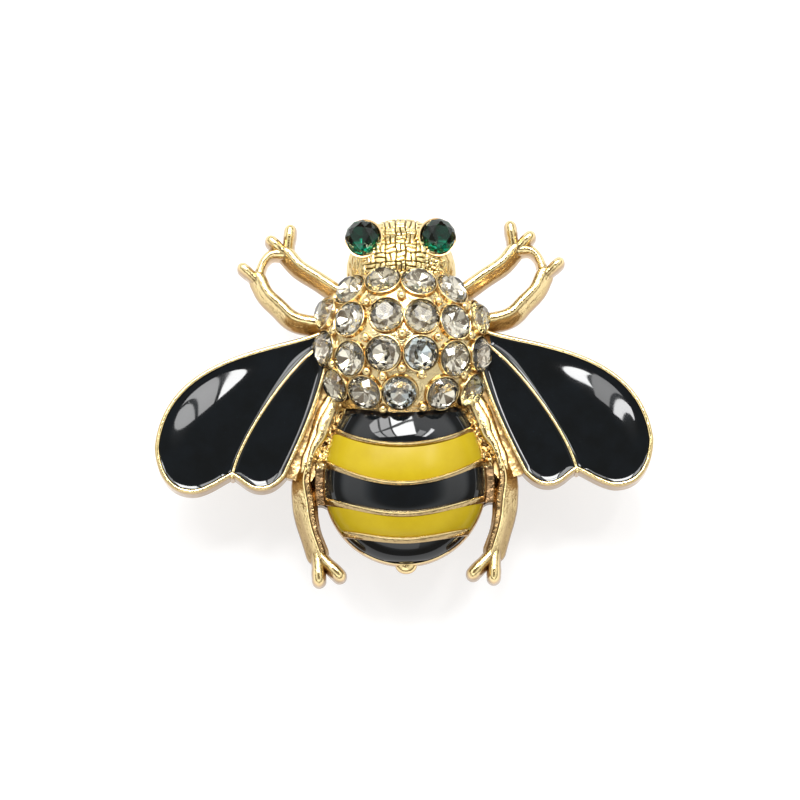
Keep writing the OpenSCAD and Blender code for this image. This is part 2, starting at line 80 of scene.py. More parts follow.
# Places of the stones and of the grains between them, as shares of the thorax's half sizes
STONES = [
    (-0.59, 0.54), (-0.21, 0.61), (0.20, 0.58), (0.58, 0.52), (-0.87, 0.34), (-0.60, 0.19), (-0.18, 0.20),
    (0.23, 0.18), (0.61, 0.14), (0.88, 0.25), (-0.89, -0.06), (-0.60, -0.23), (-0.22, -0.21), (0.21, -0.22),
    (0.60, -0.25), (0.89, -0.15), (-0.77, -0.46), (-0.44, -0.58), (-0.04, -0.61), (0.45, -0.60),
    (0.78, -0.52),
]
GRAINS = [
    (0, 0.41), (0.42, 0.36), (-0.40, 0.36), (0.72, 0.33), (-0.76, 0.47), (0, -0.01), (0.41, -0.04),
    (-0.42, -0.03), (0.78, 0.02), (-0.78, 0.10), (-0.01, -0.37), (-0.41, -0.38), (-0.23, -0.44),
    (0.21, -0.43), (0.69, -0.40), (-0.80, -0.25), (0.22, -0.74), (-0.23, -0.75),
]
# Ridges of the abdomen: distance behind the thorax centre and how much less it is at the sides
RIDGES = [(6.60, 0.41), (9.69, 1.97), (13.25, 2.57), (15.95, 1.79), (18.15, 0.96), (19.95, 0.15)]

# Wing edges as curves of four points: shares of the way to the tip and of the wing's length
WING_FRONT = [(0.013, 0), (0.251, 0.105), (0.932, 0.112), (1, 0.697)]
WING_TIP = [(1, 0.697), (1, 0.770), (0.976, 0.995), (0.778, 1)]
WING_NOTCH = [(0.778, 1), (0.697, 1), (0.608, 0.930), (0.541, 0.897)]
WING_RIB = [(0.541, 0.897), (0.503, 0.672), (0.211, 0.239), (0.023, 0.100)]
HIND_OUT = [(0.541, 0.897), (0.489, 0.925), (0.452, 0.988), (0.371, 0.988)]
HIND_IN = [(0.371, 0.988), (0.315, 0.988), (0.268, 0.960), (0.220, 0.900)]
HIND_BODY = [(0.220, 0.900), (0.130, 0.700), (0.040, 0.520), (-0.030, 0.250)]
HIND_ROOT = [(-0.030, 0.250), (-0.012, 0.200), (0.006, 0.150), (0.023, 0.100)]

# Legs: shares of the reaches sideways and along the body, then the width and height in millimetres
FORE_LEG = [
    (0.33, 0.38, 1.70, 2.1), (0.50, 0.540, 1.68, 2.1), (0.62, 0.646, 1.68, 2.1), (0.688, 0.750, 1.75, 2.0),
]
FORE_TOES = [(0.668, 0.956, 1.22), (0.785, 0.872, 1.22)]
MID_LEG = [
    (0.44, 0.160, 1.80, 2.1), (0.645, 0.215, 1.80, 2.1), (0.750, 0.335, 1.75, 2.1),
    (0.825, 0.437, 1.72, 2.1), (0.866, 0.550, 1.75, 2.0),
]
MID_TOES = [(0.958, 0.655, 1.15)]
# The small bar that joins the claws of one side
CLAW_WEB = [
    (0.866, 0.550, 1.3, 1.8), (0.852, 0.640, 1.0, 1.7), (0.826, 0.715, 0.95, 1.7), (0.780, 0.765, 1.1, 1.7),
    (0.700, 0.765, 1.3, 1.8),
]
HIND_LEG = [
    (0.64, 0.200, 1.9, 1.5), (0.80, 0.330, 1.9, 1.6), (0.905, 0.420, 1.4, 1.7), (0.980, 0.480, 1.6, 1.85),
    (1.030, 0.560, 1.9, 2.1), (1.005, 0.655, 2.3, 2.1), (0.985, 0.720, 2.15, 2.1),
    (0.945, 0.785, 1.98, 2.1), (0.885, 0.860, 2.1, 2.0),
]
# The broad bright back of the hind leg's upper half
HIND_STRAP = [
    (0.640, 0.200, 0.95, 1.95), (0.723, 0.264, 1.10, 2.12), (0.796, 0.328, 1.30, 2.18),
    (0.829, 0.376, 1.15, 2.18), (0.898, 0.424, 0.85, 2.16), (0.940, 0.472, 0.65, 2.14),
    (0.964, 0.520, 0.48, 2.08),
]
# The lower step beside it
HIND_SHOULDER = [
    (0.62, 0.190, 1.9, 1.60), (0.74, 0.264, 2.0, 1.78), (0.81, 0.328, 1.9, 1.82), (0.865, 0.376, 1.6, 1.82),
    (0.915, 0.424, 1.35, 1.86), (0.970, 0.475, 1.25, 1.90), (1.000, 0.520, 0.9, 1.90),
]
HIND_TOES = [(0.872, 0.968, 1.3), (0.668, 0.951, 1.34)]


def clamp(x):
    return min(1.0, max(0.0, x))


# Curves

CURVE_STEPS = 24


def bezier(c):
    c = np.array(c, float)
    t = np.linspace(0, 1, CURVE_STEPS + 1)[:, None]
    return (1 - t) ** 3 * c[0] + 3 * (1 - t) ** 2 * t * c[1] + 3 * (1 - t) * t * t * c[2] + t ** 3 * c[3]


def wing_path(*curves):
    """The curves as one path on the bee's right wing as seen."""
    joined = [bezier(curves[0])[:1]] + [bezier(c)[1:] for c in curves]
    p = np.vstack(joined)
    return np.column_stack([WING_FOOT + p[:, 0] * (WING_HALF - WING_FOOT), WING_Y - p[:, 1] * WING_DROP])


def spaced(path, step):
    """The path again with even steps of about the given length."""
    gaps = np.linalg.norm(np.diff(path, axis=0), axis=1)
    far = np.concatenate([[0], np.cumsum(gaps)])
    at = np.linspace(0, far[-1], max(2, int(round(far[-1] / step)) + 1))
    return np.column_stack([np.interp(at, far, path[:, k]) for k in range(path.shape[1])])


def smooth_path(rows, steps):
    """A smooth curve through the rows, with a number of steps from each to the next."""
    rows = np.array(rows, float)
    far = np.vstack([2 * rows[0] - rows[1], rows, 2 * rows[-1] - rows[-2]])
    out = []
    for a, b, c, d in zip(far, far[1:], far[2:], far[3:]):
        for t in np.arange(steps) / steps:
            square = (2 * a - 5 * b + 4 * c - d) * t ** 2
            cube = (3 * b - a - 3 * c + d) * t ** 3
            out.append(0.5 * (2 * b + (c - a) * t + square + cube))
    return np.array(out + [rows[-1]])


def tangents(path, closed=False):
    if closed:
        t = np.roll(path, -1, axis=0) - np.roll(path, 1, axis=0)
    else:
        t = np.gradient(path, axis=0)
    return t / np.linalg.norm(t, axis=1)[:, None]


def inwards(path, distance):
    """The path moved to its right by a distance."""
    t = tangents(path)
    return path + distance * np.column_stack([t[:, 1], -t[:, 0]])


def crossing(a, b):
    """Where path a's later part meets path b's early part: the two indices and the point."""
    for i in range(len(a) - 2, -1, -1):
        for j in range(len(b) - 1):
            p, r, q, s = a[i], a[i + 1] - a[i], b[j], b[j + 1] - b[j]
            det = r[0] * s[1] - r[1] * s[0]
            if abs(det) < 1e-12:
                continue
            t = ((q - p)[0] * s[1] - (q - p)[1] * s[0]) / det
            u = ((q - p)[0] * r[1] - (q - p)[1] * r[0]) / det
            if -1e-9 <= t <= 1 and -1e-9 <= u <= 1:
                return i, j, p + t * r
    return None


# Meshes

def verts_in(geom):
    return [g for g in geom if isinstance(g, bmesh.types.BMVert)]


def shaded_mesh():
    """A new mesh and its layer of painted shade, how far the gold is darkened, from 0 to 1."""
    bm = bmesh.new()
    return bm, bm.verts.layers.float.new("painted_shade")


def ring_of(bm, points):
    verts = [bm.verts.new(p) for p in points]
    return verts, [bm.edges.new((a, b)) for a, b in zip(verts, verts[1:] + verts[:1])]


def lofted(bm, rings, round_trip=False):
    """Bridges each ring of points to the next, and closes both ends or goes round. Returns the rings."""
    made = [ring_of(bm, r) for r in rings]
    pairs = list(zip(made, made[1:])) + ([(made[-1], made[0])] if round_trip else [])
    for (_, a), (_, b) in pairs:
        bmesh.ops.bridge_loops(bm, edges=a + b)
    if not round_trip:
        bm.faces.new(made[0][0])
        bm.faces.new(made[-1][0])
    return [verts for verts, _ in made]


def sweep(bm, path, profile, width=1.0, height=1.0, closed=False, mirror=1):
    """A profile of side and height shares along a flat or rising path."""
    n = len(path)
    t = tangents(np.column_stack([path[:, :2], np.zeros(n)]), closed)
    side = np.cross(t, UP)
    base = np.column_stack([path[:, :2], np.zeros(n) if path.shape[1] < 3 else path[:, 2]])
    width, height = np.broadcast_to(width, n), np.broadcast_to(height, n)
    rings = []
    for i in range(n):
        ring = [base[i] + side[i] * s * width[i] + UP * u * height[i] for s, u in profile]
        rings.append([(p[0] * mirror, p[1], p[2]) for p in ring])
    return lofted(bm, rings, round_trip=closed)


def rod(bm, rows, profile, mirror):
    """A profile along rows of x, y, width and height. Returns its rings."""
    return sweep(bm, rows[:, :2], profile, rows[:, 2], rows[:, 3], mirror=mirror)


# Steps of a rod's rounded end, and how many degrees of a quarter turn it makes
END_STEPS, END_TURN = 5, 86


def round_ends(rows, start=True, low=0.6):
    """Rows of x, y, width and height with a rounded end added, at the start too if asked.

    The height sinks to a low share of itself.
    """
    rows = [np.array(r, float) for r in rows]

    def cap(a, b):
        way = (b[:2] - a[:2]) / np.linalg.norm(b[:2] - a[:2])
        out = []
        for k in range(1, END_STEPS + 1):
            turn = math.radians(END_TURN) * k / END_STEPS
            c, s = math.cos(turn), math.sin(turn)
            out.append(np.array([*(b[:2] + way * b[2] / 2 * s), b[2] * c, b[3] * (low + (1 - low) * c)]))
        return out

    first = cap(rows[1], rows[0])[::-1] if start else []
    return np.array(first + rows + cap(rows[-2], rows[-1]))


def arch(height, rx, rz, start, end, steps):
    """Points of an oval arch over a profile's middle, between two angles in degrees."""
    turns = [math.radians(start + (end - start) * k / steps) for k in range(steps + 1)]
    return [(rx * math.cos(a), height + rz * math.sin(a)) for a in turns]


def spun(bm, profile, steps, place, painted_shades=()):
    """A profile of radius and height turned round its own axis, closed, then put in its place.

    Shades give each of the profile's points its painted shade, how far its gold is darkened.
    """
    verts = [bm.verts.new((r, 0, z)) for r, z in profile]
    for v, shade in zip(verts, painted_shades):
        v[bm.verts.layers.float["painted_shade"]] = shade
    edges = [bm.edges.new((a, b)) for a, b in zip(verts, verts[1:])]
    bmesh.ops.spin(bm, geom=verts + edges, cent=(0, 0, 0), axis=(0, 0, 1), dvec=(0, 0, 0),
                   angle=2 * math.pi, steps=steps, use_merge=True, use_duplicate=False)
    found = set(verts)
    grown = True
    while grown:
        more = {e.other_vert(v) for v in found for e in v.link_edges} - found
        found |= more
        grown = bool(more)
    bmesh.ops.transform(bm, matrix=place, verts=list(found))


def plate(bm, outline, low, high, mirror):
    """A flat plate from an outline."""
    verts = [bm.verts.new((x * mirror, y, low)) for x, y in outline]
    made = bmesh.ops.extrude_face_region(bm, geom=[bm.faces.new(verts)])
    bmesh.ops.translate(bm, verts=verts_in(made["geom"]), vec=(0, 0, high - low))


def on_thorax(share_x, share_y, lift=LIFT, lean=(0.0, 0.0)):
    """A matrix that stands a piece on the thorax's dome, along its normal."""
    x, y = share_x * THORAX[0], share_y * THORAX[1]
    z = THORAX[2] * math.sqrt(max(0.0, 1 - (x / THORAX[0]) ** 2 - (y / THORAX[1]) ** 2))
    n = Vector((x / THORAX[0] ** 2, y / THORAX[1] ** 2, z / THORAX[2] ** 2)).normalized()
    turn = n.to_track_quat("Z", "Y").to_matrix().to_4x4()
    tilt = Matrix.Rotation(lean[0], 4, "X") @ Matrix.Rotation(lean[1], 4, "Y")
    return Matrix.Translation((x, y, z)) @ turn @ tilt @ Matrix.Translation((0, 0, lift))


def at_eye(side):
    """A matrix that puts a piece in an eye's place, leaning outwards."""
    x, y, z = EYE_PLACE
    return Matrix.Translation((side * x, y, z)) @ Matrix.Rotation(side * EYE_LEAN, 4, "Y")


def half_ball(bm, around, up):
    """The upper half of a ball of radius 1 in an empty mesh, closed underneath."""
    bmesh.ops.create_uvsphere(bm, u_segments=around, v_segments=2 * up, radius=1.0)
    cut = bmesh.ops.bisect_plane(bm, geom=bm.verts[:] + bm.edges[:] + bm.faces[:], dist=1e-5,
                                 plane_co=(0, 0, 0), plane_no=(0, 0, 1), clear_inner=True)
    rim = [g for g in cut["geom_cut"] if isinstance(g, bmesh.types.BMEdge)]
    bmesh.ops.edgeloop_fill(bm, edges=rim)


def piece(name, bm, materials, nodes, sharp=38):
    """Turns a mesh in millimetres into a finished piece that rides on the brooch.

    Edges show as such past the sharp angle in degrees, and with 0 every face is flat.
    """
    bmesh.ops.remove_doubles(bm, verts=bm.verts, dist=2e-4)
    bmesh.ops.recalc_face_normals(bm, faces=bm.faces)
    bm.transform(TO_FRAME)
    mesh = bpy.data.meshes.new(name)
    bm.to_mesh(mesh)
    bm.free()
    for m in materials:
        mesh.materials.append(m)
    if sharp:
        mesh.shade_smooth()
        mesh.set_sharp_from_angle(angle=math.radians(sharp))
    else:
        mesh.shade_flat()
    obj = bpy.data.objects.new(name, mesh)
    bpy.context.scene.collection.objects.link(obj)
    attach(obj, "root")
    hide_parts(*nodes)


# Finishes

def new_group(name, inputs, outputs):
    """A node group with its sockets. Returns the tree and its input and output nodes."""
    tree = bpy.data.node_groups.new(name, "ShaderNodeTree")
    for label, kind, value in inputs:
        made = tree.interface.new_socket(label, in_out="INPUT", socket_type=kind)
        made.default_value = value
    for label, kind in outputs:
        tree.interface.new_socket(label, in_out="OUTPUT", socket_type=kind)
    return tree, tree.nodes.new("NodeGroupInput"), tree.nodes.new("NodeGroupOutput")


def node(tree, kind, **values):
    """A new node. Names that start with i_ are its inputs, and the others its settings."""
    made = tree.nodes.new(kind)
    for key, value in values.items():
        if key.startswith("i_"):
            made.inputs[key[2:].replace("_", " ")].default_value = value
        else:
            setattr(made, key, value)
    return made


def maths(tree, operation, a, b, clamped=False):
    made = node(tree, "ShaderNodeMath", operation=operation, use_clamp=clamped)
    for k, value in enumerate((a, b)):
        if isinstance(value, (int, float)):
            made.inputs[k].default_value = value
        else:
            tree.links.new(value, made.inputs[k])
    return made.outputs[0]


def ramp(tree, value, low, high, to_low=0.0, to_high=1.0):
    """A smooth step from one output to another between two inputs."""
    made = node(tree, "ShaderNodeMapRange", interpolation_type="SMOOTHSTEP")
    tree.links.new(value, made.inputs[0])
    for k, v in zip((1, 2, 3, 4), (low, high, to_low, to_high)):
        made.inputs[k].default_value = v
    return made.outputs[0]


def mixed(tree, factor, a, b):
    """From colour a at factor 0 to colour b at 1."""
    made = node(tree, "ShaderNodeMix", data_type="RGBA")
    for socket, value in ((made.inputs[0], factor), (made.inputs[6], a), (made.inputs[7], b)):
        if isinstance(value, (tuple, list)):
            socket.default_value = (*value, 1)
        else:
            tree.links.new(value, socket)
    return made.outputs[2]


def noise_of(tree, place, scale, detail=3.0, rough=0.5):
    made = node(tree, "ShaderNodeTexNoise", i_Scale=scale, i_Detail=detail, i_Roughness=rough)
    tree.links.new(place, made.inputs["Vector"])
    return made.outputs[0]


def cast_group():
    """Skin of a small plated casting: grain, soft dents and hairlines as height, and masks."""
    tree, inp, out = new_group(
        "cast_skin",
        [("Grain", "NodeSocketFloat", 1.0), ("Dents", "NodeSocketFloat", 1.0)],
        [("Height", "NodeSocketFloat"), ("Cloud", "NodeSocketFloat"), ("Hair", "NodeSocketFloat")],
    )
    place = node(tree, "ShaderNodeTexCoord").outputs["Object"]
    grain = noise_of(tree, place, 4200.0, 3.0, 0.6)
    dents = noise_of(tree, place, 900.0, 2.0, 0.5)
    cloud = noise_of(tree, place, 260.0, 3.0, 0.6)
    turned = node(tree, "ShaderNodeMapping", vector_type="POINT")
    turned.inputs["Rotation"].default_value = (0.4, 0.9, 0.7)
    turned.inputs["Scale"].default_value = (300.0, 9000.0, 9000.0)
    tree.links.new(place, turned.inputs["Vector"])
    hair = ramp(tree, noise_of(tree, turned.outputs[0], 1.0, 2.0, 0.5), 0.60, 0.72)
    grain = maths(tree, "MULTIPLY", grain, inp.outputs["Grain"])
    dents = maths(tree, "MULTIPLY", maths(tree, "MULTIPLY", dents, 3.0), inp.outputs["Dents"])
    total = maths(tree, "ADD", grain, dents)
    total = maths(tree, "SUBTRACT", total, maths(tree, "MULTIPLY", hair, 0.25))
    tree.links.new(total, out.inputs["Height"])
    tree.links.new(cloud, out.inputs["Cloud"])
    tree.links.new(hair, out.inputs["Hair"])
    return tree


def gloss_group():
    """Skin of fired enamel: a slow flow of the surface and a few pits as height, and a mask of clouds."""
    tree, inp, out = new_group(
        "enamel_skin",
        [("Flow", "NodeSocketFloat", 1.0)],
        [("Height", "NodeSocketFloat"), ("Cloud", "NodeSocketFloat")],
    )
    place = node(tree, "ShaderNodeTexCoord").outputs["Object"]
    flow = noise_of(tree, place, 230.0, 1.0, 0.4)
    cloud = noise_of(tree, place, 420.0, 4.0, 0.6)
    specks = node(tree, "ShaderNodeTexVoronoi", i_Scale=1500.0)
    tree.links.new(place, specks.inputs["Vector"])
    pits = ramp(tree, specks.outputs["Distance"], 0.03, 0.09, 1.0, 0.0)
    pick = noise_of(tree, place, 700.0, 1.0, 0.5)
    pits = maths(tree, "MULTIPLY", pits, ramp(tree, pick, 0.58, 0.64))
    total = maths(tree, "MULTIPLY", flow, inp.outputs["Flow"])
    total = maths(tree, "SUBTRACT", total, maths(tree, "MULTIPLY", pits, 0.05))
    tree.links.new(total, out.inputs["Height"])
    tree.links.new(cloud, out.inputs["Cloud"])
    return tree


CAST, GLOSS = cast_group(), gloss_group()


def material(name):
    """A new material with its node tree and its shader."""
    made = bpy.data.materials.new(name)
    made.use_nodes = True
    tree = made.node_tree
    shader = tree.nodes["Principled BSDF"]
    return made, tree, shader


def bumped(tree, shader, height, distance):
    bump = node(tree, "ShaderNodeBump", i_Strength=1.0, i_Distance=distance)
    tree.links.new(height, bump.inputs["Height"])
    tree.links.new(bump.outputs[0], shader.inputs["Normal"])


# The colour of painted shade in the gold's grooves, forks, hollows and shaded sides
PAINTED_SHADE_GOLD = (0.22, 0.135, 0.06)


def gold(name, light, deep, rough, grain=1.0, dents=1.0, bump=0.000012, dark=PAINTED_SHADE_GOLD):
    """Pale gold plate over a casting. The deep colour is painted shade on steep walls, and the dark colour
    is painted shade wherever the mesh's shade layer asks for it.
    """
    made, tree, shader = material(name)
    skin = node(tree, "ShaderNodeGroup", node_tree=CAST)
    skin.inputs["Grain"].default_value = grain
    skin.inputs["Dents"].default_value = dents
    facing = node(tree, "ShaderNodeSeparateXYZ")
    tree.links.new(node(tree, "ShaderNodeNewGeometry").outputs["Normal"], facing.inputs[0])
    # Painted shade: the steeper a face, the more of the deep colour it takes; faint clouds add a real
    # change of tone
    wall = ramp(tree, facing.outputs["Z"], 0.10, 0.85, 1.0, 0.0)
    cloud = ramp(tree, skin.outputs["Cloud"], 0.35, 0.65)
    wall_shade_and_tone = maths(tree, "MULTIPLY", wall, 0.95)
    wall_shade_and_tone = maths(tree, "ADD", wall_shade_and_tone, maths(tree, "MULTIPLY", cloud, 0.12), clamped=True)
    # Painted shade: the mesh's shade layer mixes in the dark colour
    painted_shade = node(tree, "ShaderNodeAttribute", attribute_name="painted_shade")
    colour = mixed(tree, painted_shade.outputs["Fac"], mixed(tree, wall_shade_and_tone, light, deep), dark)
    tree.links.new(colour, shader.inputs["Base Color"])
    hairs = maths(tree, "MULTIPLY", skin.outputs["Hair"], 0.05)
    roughness = maths(tree, "ADD", ramp(tree, skin.outputs["Cloud"], 0.3, 0.7, *rough), hairs)
    tree.links.new(roughness, shader.inputs["Roughness"])
    shader.inputs["Metallic"].default_value = 1.0
    bumped(tree, shader, skin.outputs["Height"], bump)
    return made


def enamel(name, colour, shade, rough, ior):
    """Fired enamel that lies a little uneven, in two close colours."""
    made, tree, shader = material(name)
    skin = node(tree, "ShaderNodeGroup", node_tree=GLOSS)
    skin.inputs["Flow"].default_value = 1.0
    cloud = ramp(tree, skin.outputs["Cloud"], 0.3, 0.7)
    tree.links.new(mixed(tree, cloud, colour, shade), shader.inputs["Base Color"])
    roughness = maths(tree, "ADD", maths(tree, "MULTIPLY", cloud, 0.02), rough)
    tree.links.new(roughness, shader.inputs["Roughness"])
    shader.inputs["IOR"].default_value = ior
    bumped(tree, shader, skin.outputs["Height"], 0.00003)
    return made


def glass(name, colour, ior):
    """Clear or coloured glass with faint clouds in its colour and polish."""
    made, tree, shader = material(name)
    place = node(tree, "ShaderNodeTexCoord").outputs["Object"]
    cloud = ramp(tree, noise_of(tree, place, 300.0, 2.0), 0.3, 0.7)
    tree.links.new(mixed(tree, cloud, colour, [c * 0.93 for c in colour]), shader.inputs["Base Color"])
    tree.links.new(maths(tree, "MULTIPLY", cloud, 0.01), shader.inputs["Roughness"])
    shader.inputs["IOR"].default_value = ior
    shader.inputs["Transmission Weight"].default_value = 1.0
    return made


def foil(name, a, b, rough, glint_edge=None, scale=190.0):
    """Mirror foil behind a stone: two colours in clouds, or one towards the tail and one towards the head.

    When the place is given, the first colour is a painted glint towards the tail and the second painted
    shade towards the head, changing between two places along the body, in metres.
    """
    made, tree, shader = material(name)
    place = node(tree, "ShaderNodeTexCoord").outputs["Object"]
    if glint_edge:
        along = node(tree, "ShaderNodeSeparateXYZ")
        tree.links.new(place, along.inputs[0])
        cloud = ramp(tree, along.outputs["Y"], *glint_edge)
    else:
        cloud = ramp(tree, noise_of(tree, place, scale, 1.0), 0.35, 0.65)
    tree.links.new(mixed(tree, cloud, a, b), shader.inputs["Base Color"])
    fine = noise_of(tree, place, 2600.0, 2.0)
    tree.links.new(ramp(tree, fine, 0.3, 0.7, *rough), shader.inputs["Roughness"])
    shader.inputs["Metallic"].default_value = 1.0
    return made


# Each gold's first colour is on faces that look up; its second colour is painted shade on steep walls
PLATE, WALL_SHADE = (0.93, 0.765, 0.385), (0.56, 0.39, 0.23)
PLATE_ROUGH, SOFT_ROUGH = (0.08, 0.22), (0.12, 0.26)
GOLD = gold("pale_gold", PLATE, WALL_SHADE, PLATE_ROUGH, grain=1.4, dents=1.3, bump=0.000015)
LEG_GOLD = gold("leg_gold", PLATE, WALL_SHADE, PLATE_ROUGH, grain=1.7, dents=1.5, bump=0.000018)
CUP_GOLD = gold("cup_gold", (0.93, 0.67, 0.34), (0.78, 0.57, 0.29), SOFT_ROUGH)
# A very dark gold: painted shade for the low web bar between the hind legs and the abdomen
WEB_SHADE_GOLD = gold("web_shade_gold", (0.17, 0.11, 0.058), (0.09, 0.052, 0.026), (0.22, 0.36), grain=3.0, dents=2.6)
TRAY_GOLD = gold("tray_gold", (0.86, 0.60, 0.27), (0.62, 0.36, 0.14), (0.32, 0.44),
                 grain=2.0, dents=3.0, bump=0.00002)
# A darker gold for the dome sunk between the stones' rims: painted shade between them
SEAT_GOLD = gold("seat_gold", (0.72, 0.60, 0.33), (0.44, 0.30, 0.14), SOFT_ROUGH,
                 grain=2.0, dents=2.5, bump=0.00002)
# Its last colour is painted shade in the grooves of the weave
WEAVE_GOLD = gold("woven_gold", (0.92, 0.77, 0.39), (0.72, 0.56, 0.26), (0.10, 0.24),
                  grain=1.6, dents=1.6, bump=0.00002, dark=(0.15, 0.095, 0.022))
PIN_GOLD = gold("pin_gold", (0.90, 0.76, 0.52), (0.70, 0.52, 0.32), (0.20, 0.34))
BLACK = enamel("black_enamel", (0.0018, 0.0032, 0.0042), (0.003, 0.005, 0.007), 0.035, 1.5)
YELLOW = enamel("yellow_enamel", (0.405, 0.300, 0.010), (0.370, 0.268, 0.008), 0.24, 1.28)
CLEAR = glass("clear_glass", (0.97, 0.97, 0.97), 1.58)
GREEN = glass("green_glass", (0.003, 0.30, 0.17), 1.45)
SILVER = foil("silver_foil", (0.69, 0.65, 0.52), (0.61, 0.585, 0.50), (0.05, 0.12))
WARM_FOIL = foil("warm_foil", (0.56, 0.51, 0.375), (0.49, 0.45, 0.345), (0.07, 0.14))
COOL_FOIL = foil("cool_foil", (0.71, 0.675, 0.56), (0.52, 0.59, 0.60), (0.05, 0.12), scale=1000.0)
# Painted light: a paler foil for the stones at the sides, which face the dark horizon
LIT_SIDE_FOIL = foil("lit_side_foil", (0.97, 0.92, 0.79), (0.88, 0.82, 0.69), (0.11, 0.17))
# Painted light and shade in the eyes: a bright foil towards the tail paints a glint, a dark one towards the
# head paints shade
EYE_GLINT_FOIL = foil("eye_glint_foil", (0.95, 1.0, 0.95), (0.055, 0.065, 0.06), (0.03, 0.07),
                glint_edge=(0.0137, 0.0144))


# Stones

# A face whose middle is lower than this is mirror foil
FOIL_BELOW = -GIRDLE - 0.01


def cut_stone(bm, r, crown, place, spin, back, mains=8):
    """A round brilliant as the hull of its rings: table, star, girdle, back and tip.

    Each ring has a number of points, its share of the radius, its height and its turn in steps.
    """
    deep = GIRDLE + back * r / STONE_R
    rings = [
        (mains, 0.56, crown, 0.5),
        (mains, 0.80, crown * 0.60, 0.0),
        (2 * mains, 1.0, 0.0, 0.0),
        (2 * mains, 1.0, -GIRDLE, 0.0),
        (mains, 0.60, -GIRDLE - 0.52 * (deep - GIRDLE), 0.0),
        (mains, 0.05, -deep, 0.5),
    ]
    verts = []
    for count, share, z, turn in rings:
        for k in range(count):
            a = 2 * math.pi * (k + turn) / count + spin
            verts.append(bm.verts.new((r * share * math.cos(a), r * share * math.sin(a), z)))
    bmesh.ops.convex_hull(bm, input=verts)
    bmesh.ops.dissolve_limit(bm, angle_limit=math.radians(1), verts=bm.verts, edges=bm.edges)
    for f in bm.faces:
        f.material_index = 1 if f.calc_center_median().z < FOIL_BELOW else 0
    bmesh.ops.transform(bm, matrix=place, verts=bm.verts)


# Stones whose foil is warmer or cooler than the others', by their place in the table; the two stones at the
# sides get a paler, rougher foil, which is painted light for stones that face the dark horizon
FOILS = {
    0: WARM_FOIL, 1: WARM_FOIL, 6: WARM_FOIL, 7: WARM_FOIL, 10: LIT_SIDE_FOIL, 13: COOL_FOIL, 15: LIT_SIDE_FOIL,
    18: COOL_FOIL, 20: COOL_FOIL,
}
# The most that a stone leans, in degrees, and turns, in radians
LEANS, TURNS = 3, 0.78
draw = random.Random(7)
for i, (sx, sy) in enumerate(STONES):
    bm = bmesh.new()
    lean = (math.radians(draw.uniform(-LEANS, LEANS)), math.radians(draw.uniform(-LEANS, LEANS)))
    cut_stone(bm, STONE_R, CROWN, on_thorax(sx, sy, lean=lean), draw.uniform(0, TURNS), STONE_BACK)
    finish = [CLEAR, FOILS.get(i, SILVER)]
    piece(f"stone_{i + 1:02d}", bm, finish, [f"crystal_{i + 1:02d}"], sharp=0)
for name, side in SIDES:
    bm = bmesh.new()
    crown = CROWN * EYE_R / STONE_R
    cut_stone(bm, EYE_R, crown, at_eye(side), draw.uniform(0, TURNS), EYE_BACK, mains=6)
    piece(f"eye_stone_{name}", bm, [GREEN, EYE_GLINT_FOIL], [f"eye_{name}"], sharp=0)


# Thorax: the dome with a seat sunk for each stone, a thin rim round it, and round grains between them

def cut_from(bm, cutter):
    """The mesh with a second one cut out of it."""
    made = []
    for name, source in (("body", bm), ("cutter", cutter)):
        bmesh.ops.recalc_face_normals(source, faces=source.faces)
        mesh = bpy.data.meshes.new(name)
        source.to_mesh(mesh)
        source.free()
        made.append(bpy.data.objects.new(name, mesh))
        bpy.context.scene.collection.objects.link(made[-1])
    boolean = made[0].modifiers.new("cut", "BOOLEAN")
    boolean.operation = "DIFFERENCE"
    boolean.solver = "EXACT"
    boolean.object = made[1]
    boolean.use_self = True
    result = bmesh.new()
    result.from_mesh(made[0].evaluated_get(bpy.context.evaluated_depsgraph_get()).to_mesh())
    for obj in made:
        mesh = obj.data
        bpy.data.objects.remove(obj)
        bpy.data.meshes.remove(mesh)
    return result


# Radius and height of a seat's wall, from the bottom up
SEAT = [(0, -1.5), (1.1, -0.55), (1.53, -0.2), (1.53, 1.2), (0, 1.2)]
bm, seats = bmesh.new(), bmesh.new()
half_ball(bm, 96, 24)
bmesh.ops.scale(bm, vec=THORAX, verts=bm.verts)
for sx, sy in STONES:
    spun(seats, SEAT, 24, on_thorax(sx, sy))
bmesh.ops.remove_doubles(seats, verts=seats.verts, dist=1e-4)
piece("thorax_dome", cut_from(bm, seats), [SEAT_GOLD], ["casting"])

# Radius and height of the rim round a stone, from its foot outside over the edge and down inside
BEZEL = [
    (1.60, -1.0), (1.86, -0.75), (1.74, -0.55), (1.70, -0.35), (1.69, -0.10), (1.67, -0.04),
    (1.63, -0.02), (1.59, -0.05), (1.57, -0.30), (1.54, -1.0), (1.60, -1.0),
]
# Painted shade for those points: dark at the rim's foot and down its inside next to the stone
BEZEL_PAINTED_SHADE = [0.8, 0.8, 0.45, 0.1, 0, 0, 0, 0.5, 0.9, 0.9, 0.8]
GRAIN_R, GRAIN_LIFT, GRAIN_FLAT = 0.45, 0.24, 0.92
bm, _ = shaded_mesh()
for sx, sy in STONES:
    spun(bm, BEZEL, 40, on_thorax(sx, sy), BEZEL_PAINTED_SHADE)
for sx, sy in GRAINS:
    ball = bmesh.ops.create_uvsphere(bm, u_segments=20, v_segments=12, radius=GRAIN_R)
    place = on_thorax(sx, sy, GRAIN_LIFT) @ Matrix.Diagonal((1, 1, GRAIN_FLAT, 1))
    bmesh.ops.transform(bm, matrix=place, verts=ball["verts"])
piece("stone_settings", bm, [GOLD], ["casting"])

# Head: a dome with blocks of raised bars, each turned a quarter from the next, and a cup for each eye
BLOCK_X, BLOCK_Y, BARS = 0.92, 0.86, 2
WANDER, RELIEF = 0.17, 0.20
